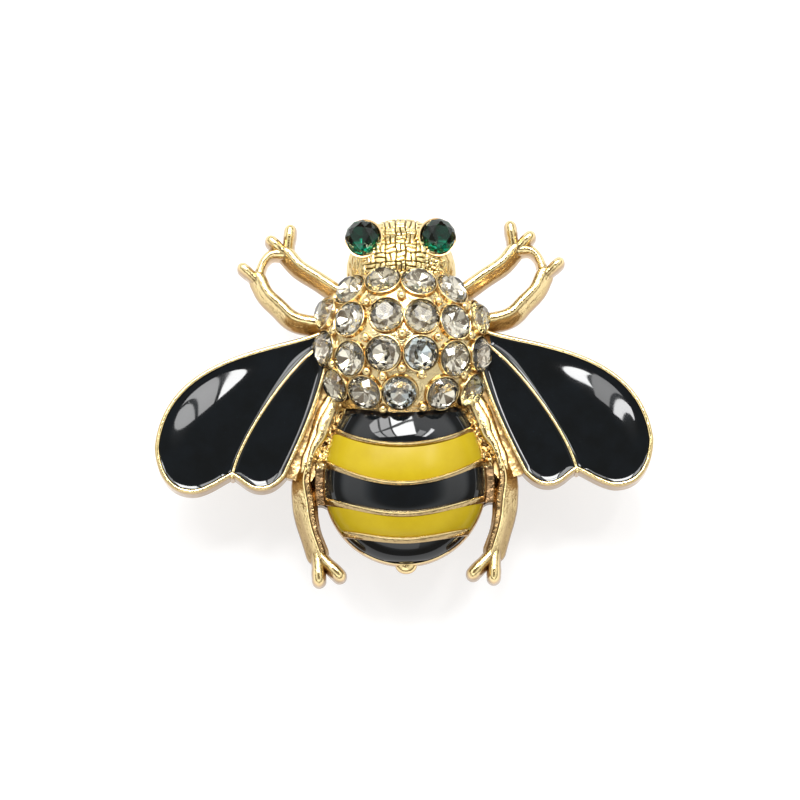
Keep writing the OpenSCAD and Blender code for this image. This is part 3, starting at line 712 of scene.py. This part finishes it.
# Where the face turns streaked, and the place and soft edge of its pebbled patch
STREAKS_FROM, PATCH_X, PATCH_Y, PATCH_SOFT = 2.9, (1.9, 4.2), (-2.4, 1.0), 0.5


def weave(x, y):
    """Height of the woven face, from 0 in a groove to 1 on a bar."""
    x += WANDER * noise.noise(Vector((x * 1.3, y * 1.3, 3.0)))
    y += WANDER * noise.noise(Vector((x * 1.3, y * 1.3, 7.0)))
    i, j = math.floor(x / BLOCK_X + 0.5), math.floor(y / BLOCK_Y)
    p, q = x / BLOCK_X + 0.5 - i, y / BLOCK_Y - j
    across, along = (q, p) if (i + j) % 2 == 0 else (p, q)
    off_bar = abs((across * BARS) % 1 - 0.5)
    off_middle = abs(along - 0.5)
    bar = clamp((0.5 - off_bar) / 0.20) * clamp((0.5 - off_middle) / 0.10)
    return bar * bar * (3 - 2 * bar)


def face_height(x, y, z):
    """Height of the head's face, woven with one pebbled patch, and how far out to its streaked sides."""
    streak = 0.5 + 0.9 * noise.noise(Vector((x * 4.5, y * 1.1, z * 4.5)))
    side = clamp((abs(x) - STREAKS_FROM) / 0.9)
    height = weave(x, y) * (1 - side) + side * (0.35 + 0.5 * streak)
    pebble = 0.5 + 1.1 * noise.noise(Vector((x * 5.2, y * 5.2, z * 5.2)))
    patch = clamp((x - PATCH_X[0]) / PATCH_SOFT) * clamp((PATCH_X[1] - x) / PATCH_SOFT)
    patch = patch * clamp((PATCH_Y[1] - y) / PATCH_SOFT) * clamp((y - PATCH_Y[0]) / PATCH_SOFT)
    return clamp(height * (1 - patch) + patch * (1.6 * pebble - 0.3)), side


bm, painted_shade = shaded_mesh()
half_ball(bm, 400, 100)
for v in bm.verts:
    n = Vector((v.co.x / HEAD[0], v.co.y / HEAD[1], v.co.z / HEAD[2])).normalized()
    x, y, z = v.co.x * HEAD[0], v.co.y * HEAD[1], v.co.z * HEAD[2]
    fade = clamp(z - 0.4)
    height, side = face_height(x, y, z)
    v.co = Vector((x, y, z)) + n * ((height - 0.5) * RELIEF * fade)
    # Painted shade in the weave's grooves, less towards the streaked sides
    v[painted_shade] = clamp((0.78 - height) * 1.5) * fade * (1 - 0.6 * side)
bmesh.ops.translate(bm, vec=(0, HEAD_Y, 0), verts=bm.verts)
piece("head_dome", bm, [WEAVE_GOLD], ["casting"], sharp=60)

CUP = [
    (0.9, -2.6), (1.32, -2.5), (1.70, -0.60), (1.79, -0.22), (1.80, -0.08), (1.75, 0.02), (1.64, 0.0),
    (1.57, -0.16), (1.50, -0.6), (0.9, -1.6), (0.9, -2.6),
]
# How far a cup's middle is from its stone's, towards the head's middle and the tail
CUP_IN, CUP_BACK = 0.18, 0.16
bm = bmesh.new()
for _, side in SIDES:
    spun(bm, CUP, 48, at_eye(side) @ Matrix.Translation((-CUP_IN * side, -CUP_BACK, 0)))
piece("eye_cups", bm, [CUP_GOLD], ["casting"])


# Abdomen

def egg_len(y):
    return EGG_NECK if y > EGG_Y else EGG_TAIL


def egg_half(y, less):
    """Half the abdomen's width at a place along it, less a margin all round."""
    return (EGG_HALF - less) * math.sqrt(max(0.0, 1 - ((y - EGG_Y) / (egg_len(y) - less)) ** 2))


def egg_z(x, y):
    inside = 1 - (x / EGG_HALF) ** 2 - ((y - EGG_Y) / egg_len(y)) ** 2
    return EGG_WALL + EGG_DOME * math.sqrt(max(0.0, inside))


def ridge_y(k, s):
    """Where ridge k runs at a share s of the way from the middle to the side."""
    return -(RIDGES[k][0] - RIDGES[k][1] * s * s)


# How far the metal under the enamel lies inside the egg and below its dome
BODY_IN, BODY_DOWN = 0.3, 0.6
bm = bmesh.new()
half_ball(bm, 96, 24)
for v in bm.verts:
    length = (EGG_NECK if v.co.y > 0 else EGG_TAIL) - BODY_IN
    z = EGG_WALL + v.co.z * EGG_DOME - BODY_DOWN if v.co.z > 0.02 else 0
    v.co = Vector((v.co.x * (EGG_HALF - BODY_IN), EGG_Y + v.co.y * length, z))
piece("abdomen_body", bm, [GOLD], ["casting"])

turn = np.linspace(0, 2 * math.pi, 160, endpoint=False)
lengths = np.where(np.cos(turn) > 0, EGG_NECK, EGG_TAIL)
egg_path = np.column_stack([EGG_HALF * np.sin(turn), EGG_Y + lengths * np.cos(turn)])
# The rim: distance inwards from the egg's edge, and height
RIM_PROFILE = [
    (0.34, 0), (0.12, 0.30), (0.01, 0.75), (0, 1.10), (0.02, 1.40), (0.07, 1.64), (0.14, 1.75),
    (0.21, 1.72), (0.27, 1.55), (0.30, 0.9), (0.60, 0),
]
bm, painted_shade = shaded_mesh()
sweep(bm, egg_path, RIM_PROFILE, closed=True)
# A ridge from its side towards the head to the one towards the tail
RIDGE_PROFILE = [
    (-0.16, -1.1), (-0.17, -0.12), (-0.13, 0.0), (-0.05, 0.06), (0.04, 0.04), (0.12, -0.05), (0.24, -0.20),
    (0.36, -0.36), (0.42, -0.52), (0.42, -1.1),
]
# How far a ridge's foot reaches towards head and tail, and what puts its ends inside the rim
RIDGE_FRONT, RIDGE_BACK, END_IN, END_OUT = 0.17, 0.42, 0.12, 0.10
for k in range(1, 5):
    rows = []
    for s in np.linspace(-1, 1, 61):
        y = ridge_y(k, s)
        x = s * (min(egg_half(y + RIDGE_FRONT, END_IN), egg_half(y - RIDGE_BACK, END_IN)) + END_OUT)
        rows.append((x, y, egg_z(x, y)))
    for ring in sweep(bm, np.array(rows), RIDGE_PROFILE):
        for v, (s, _) in zip(ring, RIDGE_PROFILE):
            # Painted shade down each ridge's side towards the tail
            v[painted_shade] = 0.6 * clamp((s - 0.02) / 0.1)
NUB_SIZE, NUB_PLACE = (1.0, 0.85, 0.75), (0, -20.05, 0.95)
nub = bmesh.ops.create_uvsphere(bm, u_segments=24, v_segments=16, radius=1.0)
bmesh.ops.scale(bm, vec=NUB_SIZE, verts=nub["verts"])
bmesh.ops.translate(bm, vec=NUB_PLACE, verts=nub["verts"])
piece("abdomen_ridges", bm, [GOLD], ["casting"])

# Enamel bands: how far below the ridges' tops, how much fuller in the middle, how thick and how
# far inside the egg's edge
BAND_DOWN, BAND_FULL, BAND_THICK, BAND_IN = 0.27, 0.10, 0.7, 0.20


def band(k):
    """An enamel band between two ridges, a little fuller in its middle."""
    bm = bmesh.new()
    made = bmesh.ops.create_grid(bm, x_segments=64, y_segments=12, size=1.0)
    front_gap = -0.15 if k == 0 else 0.34
    back_gap = 0.0 if k == 4 else 0.12
    for v in made["verts"]:
        s, w = v.co.x, (v.co.y + 1) / 2
        front, back = ridge_y(k, s) - front_gap, ridge_y(k + 1, s) + back_gap
        y = front + (back - front) * w
        x = s * egg_half(y, BAND_IN)
        full = (1 - max(0.0, 2 * w - 1) ** 4) * (1 - abs(s) ** 12)
        v.co = Vector((x, y, egg_z(x, y) - BAND_DOWN + BAND_FULL * full))
    made = bmesh.ops.extrude_face_region(bm, geom=list(bm.faces))
    bmesh.ops.translate(bm, vec=(0, 0, -BAND_THICK), verts=verts_in(made["geom"]))
    colour, slot = ((BLACK, "black_enamel"), (YELLOW, "yellow_enamel"))[k % 2]
    piece(f"band_{k + 1}", bm, [colour], [f"enamel_band_{k + 1}"], sharp=50)


for k in range(5):
    band(k)

# Wings: raised rims and a rib with rounded tops on a flat floor
fore_edge = spaced(wing_path(WING_FRONT, WING_TIP, WING_NOTCH), 0.25)
rib_edge = spaced(wing_path(WING_RIB), 0.25)
hind_edge = spaced(wing_path(HIND_OUT, HIND_IN, HIND_BODY), 0.25)
root_edge = wing_path([(0.023, 0.100), (0.020, 0.067), (0.016, 0.033), (0.013, 0)])
hind_root_edge = wing_path(HIND_ROOT)
HALF_ROUND = [(-0.52, 0), (-0.50, 0.78), *arch(0.84, 0.49, 0.16, 165, 15, 8), (0.50, 0.78), (0.52, 0)]
# Where the floor ends at the root, and the web's corners on the body
FLOOR_ROOT, WEB_ROOT = [[6.2, -1.0]], [[3.9, 0], [6.2, -9.0], [8.6, -12.6]]
# The floor's top, the web's two faces, and two heights that have both tops between them
FLOOR_TOP, WEB_LOW, WEB_TOP, UNDER_TOPS, OVER_TOPS = 1.15, 0.03, 1.24, 1.1, 1.3


def wing(name, side):
    """A wing's rims, rib and floor, and the web between it and the body."""
    bm, painted_shade = shaded_mesh()
    for path, offset, width in ((fore_edge, RIM / 2, RIM), (hind_edge, RIM / 2, RIM), (rib_edge, 0, RIB)):
        line = inwards(path, offset) if offset else path
        rows = np.column_stack([line, np.full(len(line), width), np.full(len(line), WING_H)])
        for ring in rod(bm, round_ends(rows, low=1.0), HALF_ROUND, side):
            for v, (s, _) in zip(ring, HALF_ROUND):
                # Painted shade down one side of each outer rim
                v[painted_shade] = 0.4 * clamp((-s - 0.1) / 0.3) if offset else 0.0
    floor = np.vstack([inwards(fore_edge, RIM / 2), inwards(hind_edge, RIM / 2)[1:], FLOOR_ROOT])
    plate(bm, floor, 0, FLOOR_TOP, side)
    plate(bm, np.vstack([wing_path(HIND_BODY), WEB_ROOT]), WEB_LOW, WEB_TOP, side)
    for v in bm.verts:
        # Painted shade on the floor and web that lie low between the rims
        if 0.02 < v.co.z < OVER_TOPS:
            v[painted_shade] = 0.25
    for f in bm.faces:
        f.material_index = 1 if UNDER_TOPS < f.calc_center_median().z < OVER_TOPS else 0
    piece(f"wing_{name}", bm, [GOLD, TRAY_GOLD], ["casting"])


# How far the enamel climbs the metal and over what reach, and how high it domes in each wing
MENISCUS, MENISCUS_REACH, FORE_RISE, HIND_RISE = 0.30, 0.52, 0.66, 0.24
# How far below the rim's top the enamel's edge and its underside are
EDGE_DOWN, UNDERSIDE_DOWN = 0.06, 1.0


def poured(far, near, rise):
    """Enamel between two edges from the wing's root to its end: domed, and drawn up at the metal.

    Both heights solve a sheet's balance over the cell's own mesh.
    """
    bm = bmesh.new()
    made = bmesh.ops.create_grid(bm, x_segments=120, y_segments=34, size=1.0)
    far, near = spaced(far, 0.05), spaced(near, 0.05)
    for v in made["verts"]:
        t = (v.co.x + 1) / 2
        t = t + 0.05 * math.sin(2 * math.pi * t)
        s = (1 - math.cos(math.pi * (v.co.y + 1) / 2)) / 2
        a = [np.interp(t * (len(far) - 1), np.arange(len(far)), far[:, k]) for k in (0, 1)]
        b = [np.interp(t * (len(near) - 1), np.arange(len(near)), near[:, k]) for k in (0, 1)]
        v.co = Vector((a[0] + (b[0] - a[0]) * s, a[1] + (b[1] - a[1]) * s, 0))
    inside = [v for v in bm.verts if not v.is_boundary]
    for _ in range(12):
        bmesh.ops.smooth_vert(bm, verts=inside, factor=0.5, use_axis_x=True, use_axis_y=True,
                              use_axis_z=False)
    tri = bm.copy()
    bmesh.ops.triangulate(tri, faces=tri.faces)
    tri.verts.index_update()
    bm.verts.index_update()
    co = np.array([v.co for v in tri.verts])[:, :2]
    ids = np.array([[v.index for v in f.verts] for f in tri.faces])
    rim = np.array([v.is_boundary for v in tri.verts])
    tri.free()
    n = len(co)
    stiff, mass = np.zeros((n, n)), np.zeros(n)
    for a, b, c in ((0, 1, 2), (1, 2, 0), (2, 0, 1)):
        u, w = co[ids[:, a]] - co[ids[:, c]], co[ids[:, b]] - co[ids[:, c]]
        double = np.maximum(np.abs(u[:, 0] * w[:, 1] - u[:, 1] * w[:, 0]), 1e-7)
        cot = np.clip((u * w).sum(1) / double, -20, 20) / 2
        np.add.at(stiff, (ids[:, a], ids[:, a]), cot)
        np.add.at(stiff, (ids[:, b], ids[:, b]), cot)
        np.add.at(stiff, (ids[:, a], ids[:, b]), -cot)
        np.add.at(stiff, (ids[:, b], ids[:, a]), -cot)
        np.add.at(mass, ids[:, a], double / 6)
    inner = ~rim
    edge, bow = np.zeros(n), np.zeros(n)
    system = stiff + np.diag(mass) / MENISCUS_REACH ** 2
    edge[inner] = np.linalg.solve(system[np.ix_(inner, inner)], mass[inner] / MENISCUS_REACH ** 2)
    bow[inner] = np.linalg.solve(stiff[np.ix_(inner, inner)], mass[inner])
    bow *= rise / bow.max()
    for v in bm.verts:
        v.co.z = WING_H - EDGE_DOWN - MENISCUS * edge[v.index] + bow[v.index]
    made = bmesh.ops.extrude_face_region(bm, geom=list(bm.faces))
    for v in verts_in(made["geom"]):
        v.co.z = WING_H - UNDERSIDE_DOWN
    return bm


def longer(path, by=0.8):
    """The path with both ends drawn out straight."""
    a, b = path[0] - path[1], path[-1] - path[-2]
    return np.vstack([path[0] + a / np.linalg.norm(a) * by, path, path[-1] + b / np.linalg.norm(b) * by])


def cell_sides(far, near, root):
    """The two edges of a cell from root to tip, cut where they meet each other and the root."""
    far, near, root = longer(far), longer(near), longer(root)
    i, j, tip = crossing(far, near[::-1])
    far, near = np.vstack([far[:i + 1], tip]), np.vstack([near[::-1][j + 1:][::-1], tip])
    cut = []
    for path in (far, near):
        _, k, start = crossing(root, path)
        cut.append(np.vstack([start, path[k + 1:]]))
    return cut


# How far the enamel reaches under the metal, and how far it stays off the wing's root
UNDER_RIM, OFF_ROOT = 0.04, 0.35
fore_sides = cell_sides(
    inwards(fore_edge, RIM - UNDER_RIM),
    inwards(rib_edge, RIB / 2 - UNDER_RIM)[::-1],
    inwards(root_edge, OFF_ROOT),
)
hind_sides = cell_sides(
    inwards(hind_edge[::-1], UNDER_RIM - RIM),
    inwards(rib_edge[::-1], RIB / 2 - UNDER_RIM),
    inwards(hind_root_edge, OFF_ROOT),
)
for name, side in SIDES:
    wing(name, side)
for label, cell, rise in (("forewing", fore_sides, FORE_RISE), ("hindwing", hind_sides, HIND_RISE)):
    shape = poured(*cell, rise)
    for name, side in SIDES:
        bm = shape.copy()
        bmesh.ops.scale(bm, vec=(side, 1, 1), verts=bm.verts)
        piece(f"{label}_enamel_{name}", bm, [BLACK], [f"enamel_{label}_{name}"], sharp=60)
    shape.free()

# Legs: ridged rods that are flat behind, with a crest towards the head or the body, and their toes
ROD = [(-0.50, 0), (-0.50, 0.42), *arch(0.50, 0.47, 0.50, 170, 10, 10), (0.50, 0.42), (0.50, 0)]
CRESTED = [
    (-0.48, 0), (-0.50, 0.40), (-0.47, 0.66), (-0.41, 0.84), (-0.32, 0.94), (-0.20, 0.99), (-0.07, 1.0),
    (0.03, 0.95), (0.12, 0.83), (0.24, 0.69), (0.38, 0.57), (0.47, 0.40), (0.50, 0.22), (0.48, 0),
]
BEVELLED = [
    (-0.46, 0), (-0.50, 0.20), (-0.47, 0.38), (-0.40, 0.50), (-0.26, 0.62), (-0.22, 0.70), (-0.08, 0.84),
    (0.01, 0.95), (0.06, 1.0), (0.11, 0.98), (0.14, 0.87), (0.18, 0.84), (0.33, 0.83), (0.37, 0.79),
    (0.41, 0.62), (0.50, 0.50), (0.48, 0),
]
BROAD = [
    (-0.50, 0), (-0.50, 0.78), (-0.43, 0.90), (-0.28, 0.97), (0, 1.0), (0.28, 0.98), (0.43, 0.92),
    (0.50, 0.80), (0.50, 0),
]
# Painted shade on a bevelled rod at shares of its width, darkest in the groove beside its crest
GROOVE_SHADE = [(-0.30, 0.47), (-0.12, 0.36), (-0.08, 0.0), (0.11, 0.0), (0.13, 0.9), (0.34, 0.9), (0.38, 0.5)]
# A toe at shares of its length, with its shares of the width and height
TOE = [(0, 1.05, 0.86), (0.25, 0.98, 0.88), (0.5, 0.94, 0.92), (0.75, 1.02, 0.99), (1, 1.0, 0.96)]


def painted_shade_at(profile, s):
    """Painted shade on a rod at a share of its width: by its groove if bevelled, else down its plain side.
    """
    if profile is BEVELLED:
        return float(np.interp(s, *zip(*GROOVE_SHADE)))
    return 0.45 * clamp((s - 0.2) / 0.2)


def leg(bm, path, toes, spread, reach, profile, mirror):
    """A leg along a path of shares, with its toes.

    It has painted shade where they fork, and on the outside of a bevelled leg's lower half.
    """
    painted_shade = bm.verts.layers.float["painted_shade"]
    rows = [(x * spread, y * reach, w, h) for x, y, w, h in path]
    rings = rod(bm, round_ends(smooth_path(rows, 8), start=False, low=0.8), profile, mirror)
    for k, ring in enumerate(rings):
        share = k / len(rings)
        # Painted shade where the toes fork off, on a bevelled leg's lower outer face, and by the profile
        fork = 0.5 * clamp((share - 0.88) / 0.08) if toes else 0.0
        lower = 0.7 * clamp((share - 0.5) / 0.15) if profile is BEVELLED else 0.0
        for v, (s, _) in zip(ring, profile):
            v[painted_shade] = max(fork, lower * clamp((-s - 0.05) / 0.08), painted_shade_at(profile, s))
    a = np.array([path[-1][0] * spread, path[-1][1] * reach])
    for x, y, w in toes:
        b = np.array([x * spread, y * reach])
        rows = [(*(a + (b - a) * t), w * wide, LEG_H * high) for t, wide, high in TOE]
        rings = rod(bm, round_ends(smooth_path(rows, 4), start=False, low=0.45), ROD, mirror)
        for k, ring in enumerate(rings):
            # Painted shade where a toe leaves the leg and down both of its sides
            fork = 0.6 * clamp(1 - 2 * k / len(rings))
            for v, (s, _) in zip(ring, ROD):
                v[painted_shade] = max(fork, 0.5 * clamp((abs(s) - 0.3) / 0.15))


bm, _ = shaded_mesh()
for _, side in SIDES:
    leg(bm, FORE_LEG, FORE_TOES, CLAW_X, CLAW_Y, CRESTED, side)
    leg(bm, MID_LEG, MID_TOES, CLAW_X, CLAW_Y, CRESTED, side)
    leg(bm, HIND_LEG, HIND_TOES, HIND_X, HIND_Y, BEVELLED, side)
    leg(bm, HIND_SHOULDER, [], HIND_X, HIND_Y, BROAD, side)
    leg(bm, HIND_STRAP, [], HIND_X, HIND_Y, BROAD, side)
    rows = [(x * CLAW_X, y * CLAW_Y, w, h) for x, y, w, h in CLAW_WEB]
    rod(bm, round_ends(smooth_path(rows, 6)), ROD, side)
piece("legs", bm, [LEG_GOLD], ["casting"])

# Rough cast webs between wings, hind legs and abdomen: lumpy in front with painted shade in the valleys
# between the lumps, and a low bar behind in a very dark gold, which is painted shade
WEB_FRONT, WEB_BACK, WEB_CHANGE = -3.6, -14.55, -11.3
# Distance behind the thorax's centre, and how far out the web reaches there
WEB_OUTER = [
    (4.4, 5.76), (5.81, 6.51), (7.22, 7.16), (8.28, 7.46), (9.33, 8.08), (10.38, 8.46), (12.3, 8.6),
    (14.6, 8.5),
]


def lumps(x, y, side):
    """Coarse and fine lumps of the casting, from about -1 to 1."""
    coarse = noise.noise(Vector((x * 2.0, y * 2.0, side)))
    return coarse + 0.7 * noise.noise(Vector((x * 4.4, y * 4.4, side)))


bm, painted_shade = shaded_mesh()
for _, side in SIDES:
    made = bmesh.ops.create_grid(bm, x_segments=28, y_segments=110, size=1.0)
    for v in made["verts"]:
        s, w = (v.co.x + 1) / 2, (1 - v.co.y) / 2
        y = WEB_FRONT + (WEB_BACK - WEB_FRONT) * w
        inner = max(2.5, egg_half(y, 0.25))
        outer = float(np.interp(-y, *zip(*WEB_OUTER)))
        x = inner + (outer - inner) * s
        y -= 0.0 if w < 0.9 else (w - 0.9) * 9 * (abs(2 * s - 1) ** 2) * 0.45
        lump = lumps(x, y, side)
        front = clamp((y + 11.5) / 0.9)
        bar = clamp((s - 0.06) / 0.14) * clamp((0.78 - s) / 0.16)
        back_z = 0.45 + 0.90 * bar * (2 - bar) + 0.012 * lump
        front_z = 1.62 + 0.50 * lump
        v.co = Vector((x * side, y, back_z + (front_z - back_z) * front))
        # Painted shade: the back bar evenly, and the valleys between the lumps in front
        v[painted_shade] = 0.3 * (1 - front) + 0.8 * front * clamp(0.05 - 1.8 * lump)
    made = bmesh.ops.extrude_face_region(bm, geom=list({f for v in made["verts"] for f in v.link_faces}))
    for v in verts_in(made["geom"]):
        v.co.z = 0.02
for f in bm.faces:
    f.material_index = 1 if f.calc_center_median().y < WEB_CHANGE else 0
piece("webs", bm, [LEG_GOLD, WEB_SHADE_GOLD], ["casting"], sharp=60)

# The pin on the back: bar, hinge block, needle and open catch in one piece
# The bar's middle, a little to the head's side of the frame's origin, and the ground under the brooch
BAR_Y = 0.65 - BACK_Y
ground = -casting_low.z / MM
bm = bmesh.new()


def block(size, place, soft):
    """A block with rounded edges."""
    where = Matrix.Translation(place) @ Matrix.Diagonal((*size, 1))
    made = bmesh.ops.create_cube(bm, size=1.0, matrix=where)
    edges = list({e for v in made["verts"] for e in v.link_edges})
    bmesh.ops.bevel(bm, geom=edges, offset=soft, segments=3, profile=0.5, affect="EDGES", material=-1)


block((26, 4, 0.7), (0, BAR_Y, ground + 6.35), 0.18)
block((3, 4.8, 6.1), (11.5, BAR_Y, ground + 3.05), 0.35)
# The needle's places along the bar with its radius there, and its height over the ground
NEEDLE = [(11.0, 0.45), (4.0, 0.45), (-4.0, 0.45), (-10.6, 0.45), (-12.3, 0.22), (-13.0, 0.03)]
NEEDLE_Z = ground + 1.25
turn = np.linspace(0, 2 * math.pi, 24, endpoint=False)
rings = []
for x, r in NEEDLE:
    rings.append([(x, BAR_Y + r * math.cos(a), NEEDLE_Z + r * math.sin(a)) for a in turn])
lofted(bm, rings)
# The catch: a strip seen from the side, its place along the bar, half its thickness and half its width
HOOK = [(1.3, 6.0), (1.6, 4.6), (1.75, 3.0), (1.7, 1.6), (1.2, 0.55), (0.3, 0.22), (-0.6, 0.5), (-1.0, 1.2)]
HOOK_X, THIN, WIDE = -11.8, 0.22, 1.1
hook = smooth_path(HOOK, 6)
t = tangents(hook)
normal = np.column_stack([t[:, 1], -t[:, 0]])
rings = []
for p, m in zip(hook, normal):
    ring = []
    for s, x in ((-THIN, -WIDE), (-THIN, WIDE), (THIN, WIDE), (THIN, -WIDE)):
        y, z = p + m * s
        ring.append((HOOK_X + x, BAR_Y + y, ground + z))
    rings.append(ring)
lofted(bm, rings)
piece("pin", bm, [PIN_GOLD], ["pin_back"])

# Floor, light and camera
FLOOR_HALF, FLOOR_GREY, FLOOR_GLOW = 3.0, 0.38, 0.66
bm = bmesh.new()
bmesh.ops.create_grid(bm, x_segments=1, y_segments=1, size=FLOOR_HALF)
mesh = bpy.data.meshes.new("floor")
bm.to_mesh(mesh)
bm.free()
floor = bpy.data.objects.new("floor", mesh)
bpy.context.scene.collection.objects.link(floor)
made, tree, shader = material("white_card")
shader.inputs["Base Color"].default_value = (FLOOR_GREY, FLOOR_GREY, FLOOR_GREY, 1)
shader.inputs["Emission Color"].default_value = (1, 1, 1, 1)
shader.inputs["Emission Strength"].default_value = FLOOR_GLOW
shader.inputs["Roughness"].default_value = 0.9
shader.inputs["Specular IOR Level"].default_value = 0.1
mesh.materials.append(made)

# Where the camera and the lights look, in metres
aim = Vector((-0.0003, -0.0001, 0.00875))


def light(name, azimuth, elevation, distance, size, radiance, shift=(0, 0)):
    """A soft box, shifted in its own plane. Distance and size are in metres.

    Azimuth 0 is the tail's side, 90 the right and 180 the head's side.
    """
    a, e = math.radians(azimuth), math.radians(elevation)
    way = Vector((math.sin(a) * math.cos(e), -math.cos(a) * math.cos(e), math.sin(e)))
    data = bpy.data.lights.new(name, "AREA")
    data.shape = "RECTANGLE"
    data.size, data.size_y = size
    data.energy = radiance * math.pi * size[0] * size[1]
    obj = bpy.data.objects.new(name, data)
    turn = way.to_track_quat("Z", "Y")
    obj.location = aim + way * distance + turn @ Vector((*shift, 0))
    obj.rotation_euler = turn.to_euler()
    obj.visible_camera = False
    bpy.context.scene.collection.objects.link(obj)


# A tall window with panes at the head's side, and a dimmer one to its right
PANE, BAR, HALF_PANE = (0.36, 0.27), 0.035, 0.16
for row in (0, 1):
    left, up = -0.5 * (PANE[0] + BAR), (row - 0.5) * (PANE[1] + BAR)
    light(f"pane_{row}", 197, 54, 1.2, PANE, 24.0, shift=(left, up))
    for half in (-1, 1):
        narrow = (-left + half * 0.1, up)
        light(f"pane_{row}_{half}", 197, 54, 1.2, (HALF_PANE, PANE[1]), 8.0, shift=narrow)
light("window_right", 157, 58, 1.2, (0.09, 0.40), 18.0, shift=(-0.22, 0))
light("window_right_side", 157, 58, 1.2, (0.14, 0.22), 5.0, shift=(-0.06, 0.05))
light("fill_tail", 350, 35, 1.5, (1.2, 0.7), 0.9)

# The room: dark overhead and at the horizon, brighter between, most of all at the head's side
world = bpy.data.worlds.new("room")
bpy.context.scene.world = world
world.use_nodes = True
tree = world.node_tree
back = tree.nodes["Background"]
ways = node(tree, "ShaderNodeSeparateXYZ")
tree.links.new(node(tree, "ShaderNodeTexCoord").outputs["Generated"], ways.inputs[0])
overhead = ramp(tree, ways.outputs["Z"], 0.76, 0.95, 1.0, 0.0)
head_side = ramp(tree, ways.outputs["Y"], -0.5, 0.7, 0.75, 1.45)
horizon = ramp(tree, ways.outputs["Z"], 0.24, 0.52, 0.05, 1.0)
strength = maths(tree, "MULTIPLY", maths(tree, "MULTIPLY", overhead, head_side), horizon)
strength = maths(tree, "ADD", strength, 0.19)
tree.links.new(strength, back.inputs["Strength"])
shade = ramp(tree, strength, 0.12, 0.66)
tree.links.new(mixed(tree, shade, (1.0, 0.80, 0.62), (1.0, 0.985, 0.965)), back.inputs["Color"])

# The camera: width of its view at the brooch, distance, angle over the floor and roll
VIEW_WIDE, DISTANCE, ELEVATION, ROLL = 0.0722, 0.4, math.radians(79), math.radians(1)
SENSOR = 36
camera = bpy.data.objects.new("camera", bpy.data.cameras.new("camera"))
bpy.context.scene.collection.objects.link(camera)
camera.data.sensor_width = SENSOR
camera.data.lens = SENSOR * DISTANCE / VIEW_WIDE
camera.data.clip_start = 0.01
camera.data.clip_end = 20
way = Vector((0, -math.cos(ELEVATION), math.sin(ELEVATION)))
camera.location = aim + way * DISTANCE
upright = way.to_track_quat("Z", "Y").to_matrix()
camera.rotation_euler = (upright @ Matrix.Rotation(-ROLL, 3, "Z")).to_euler()
bpy.context.scene.camera = camera
bpy.context.scene.view_settings.view_transform = "Standard"
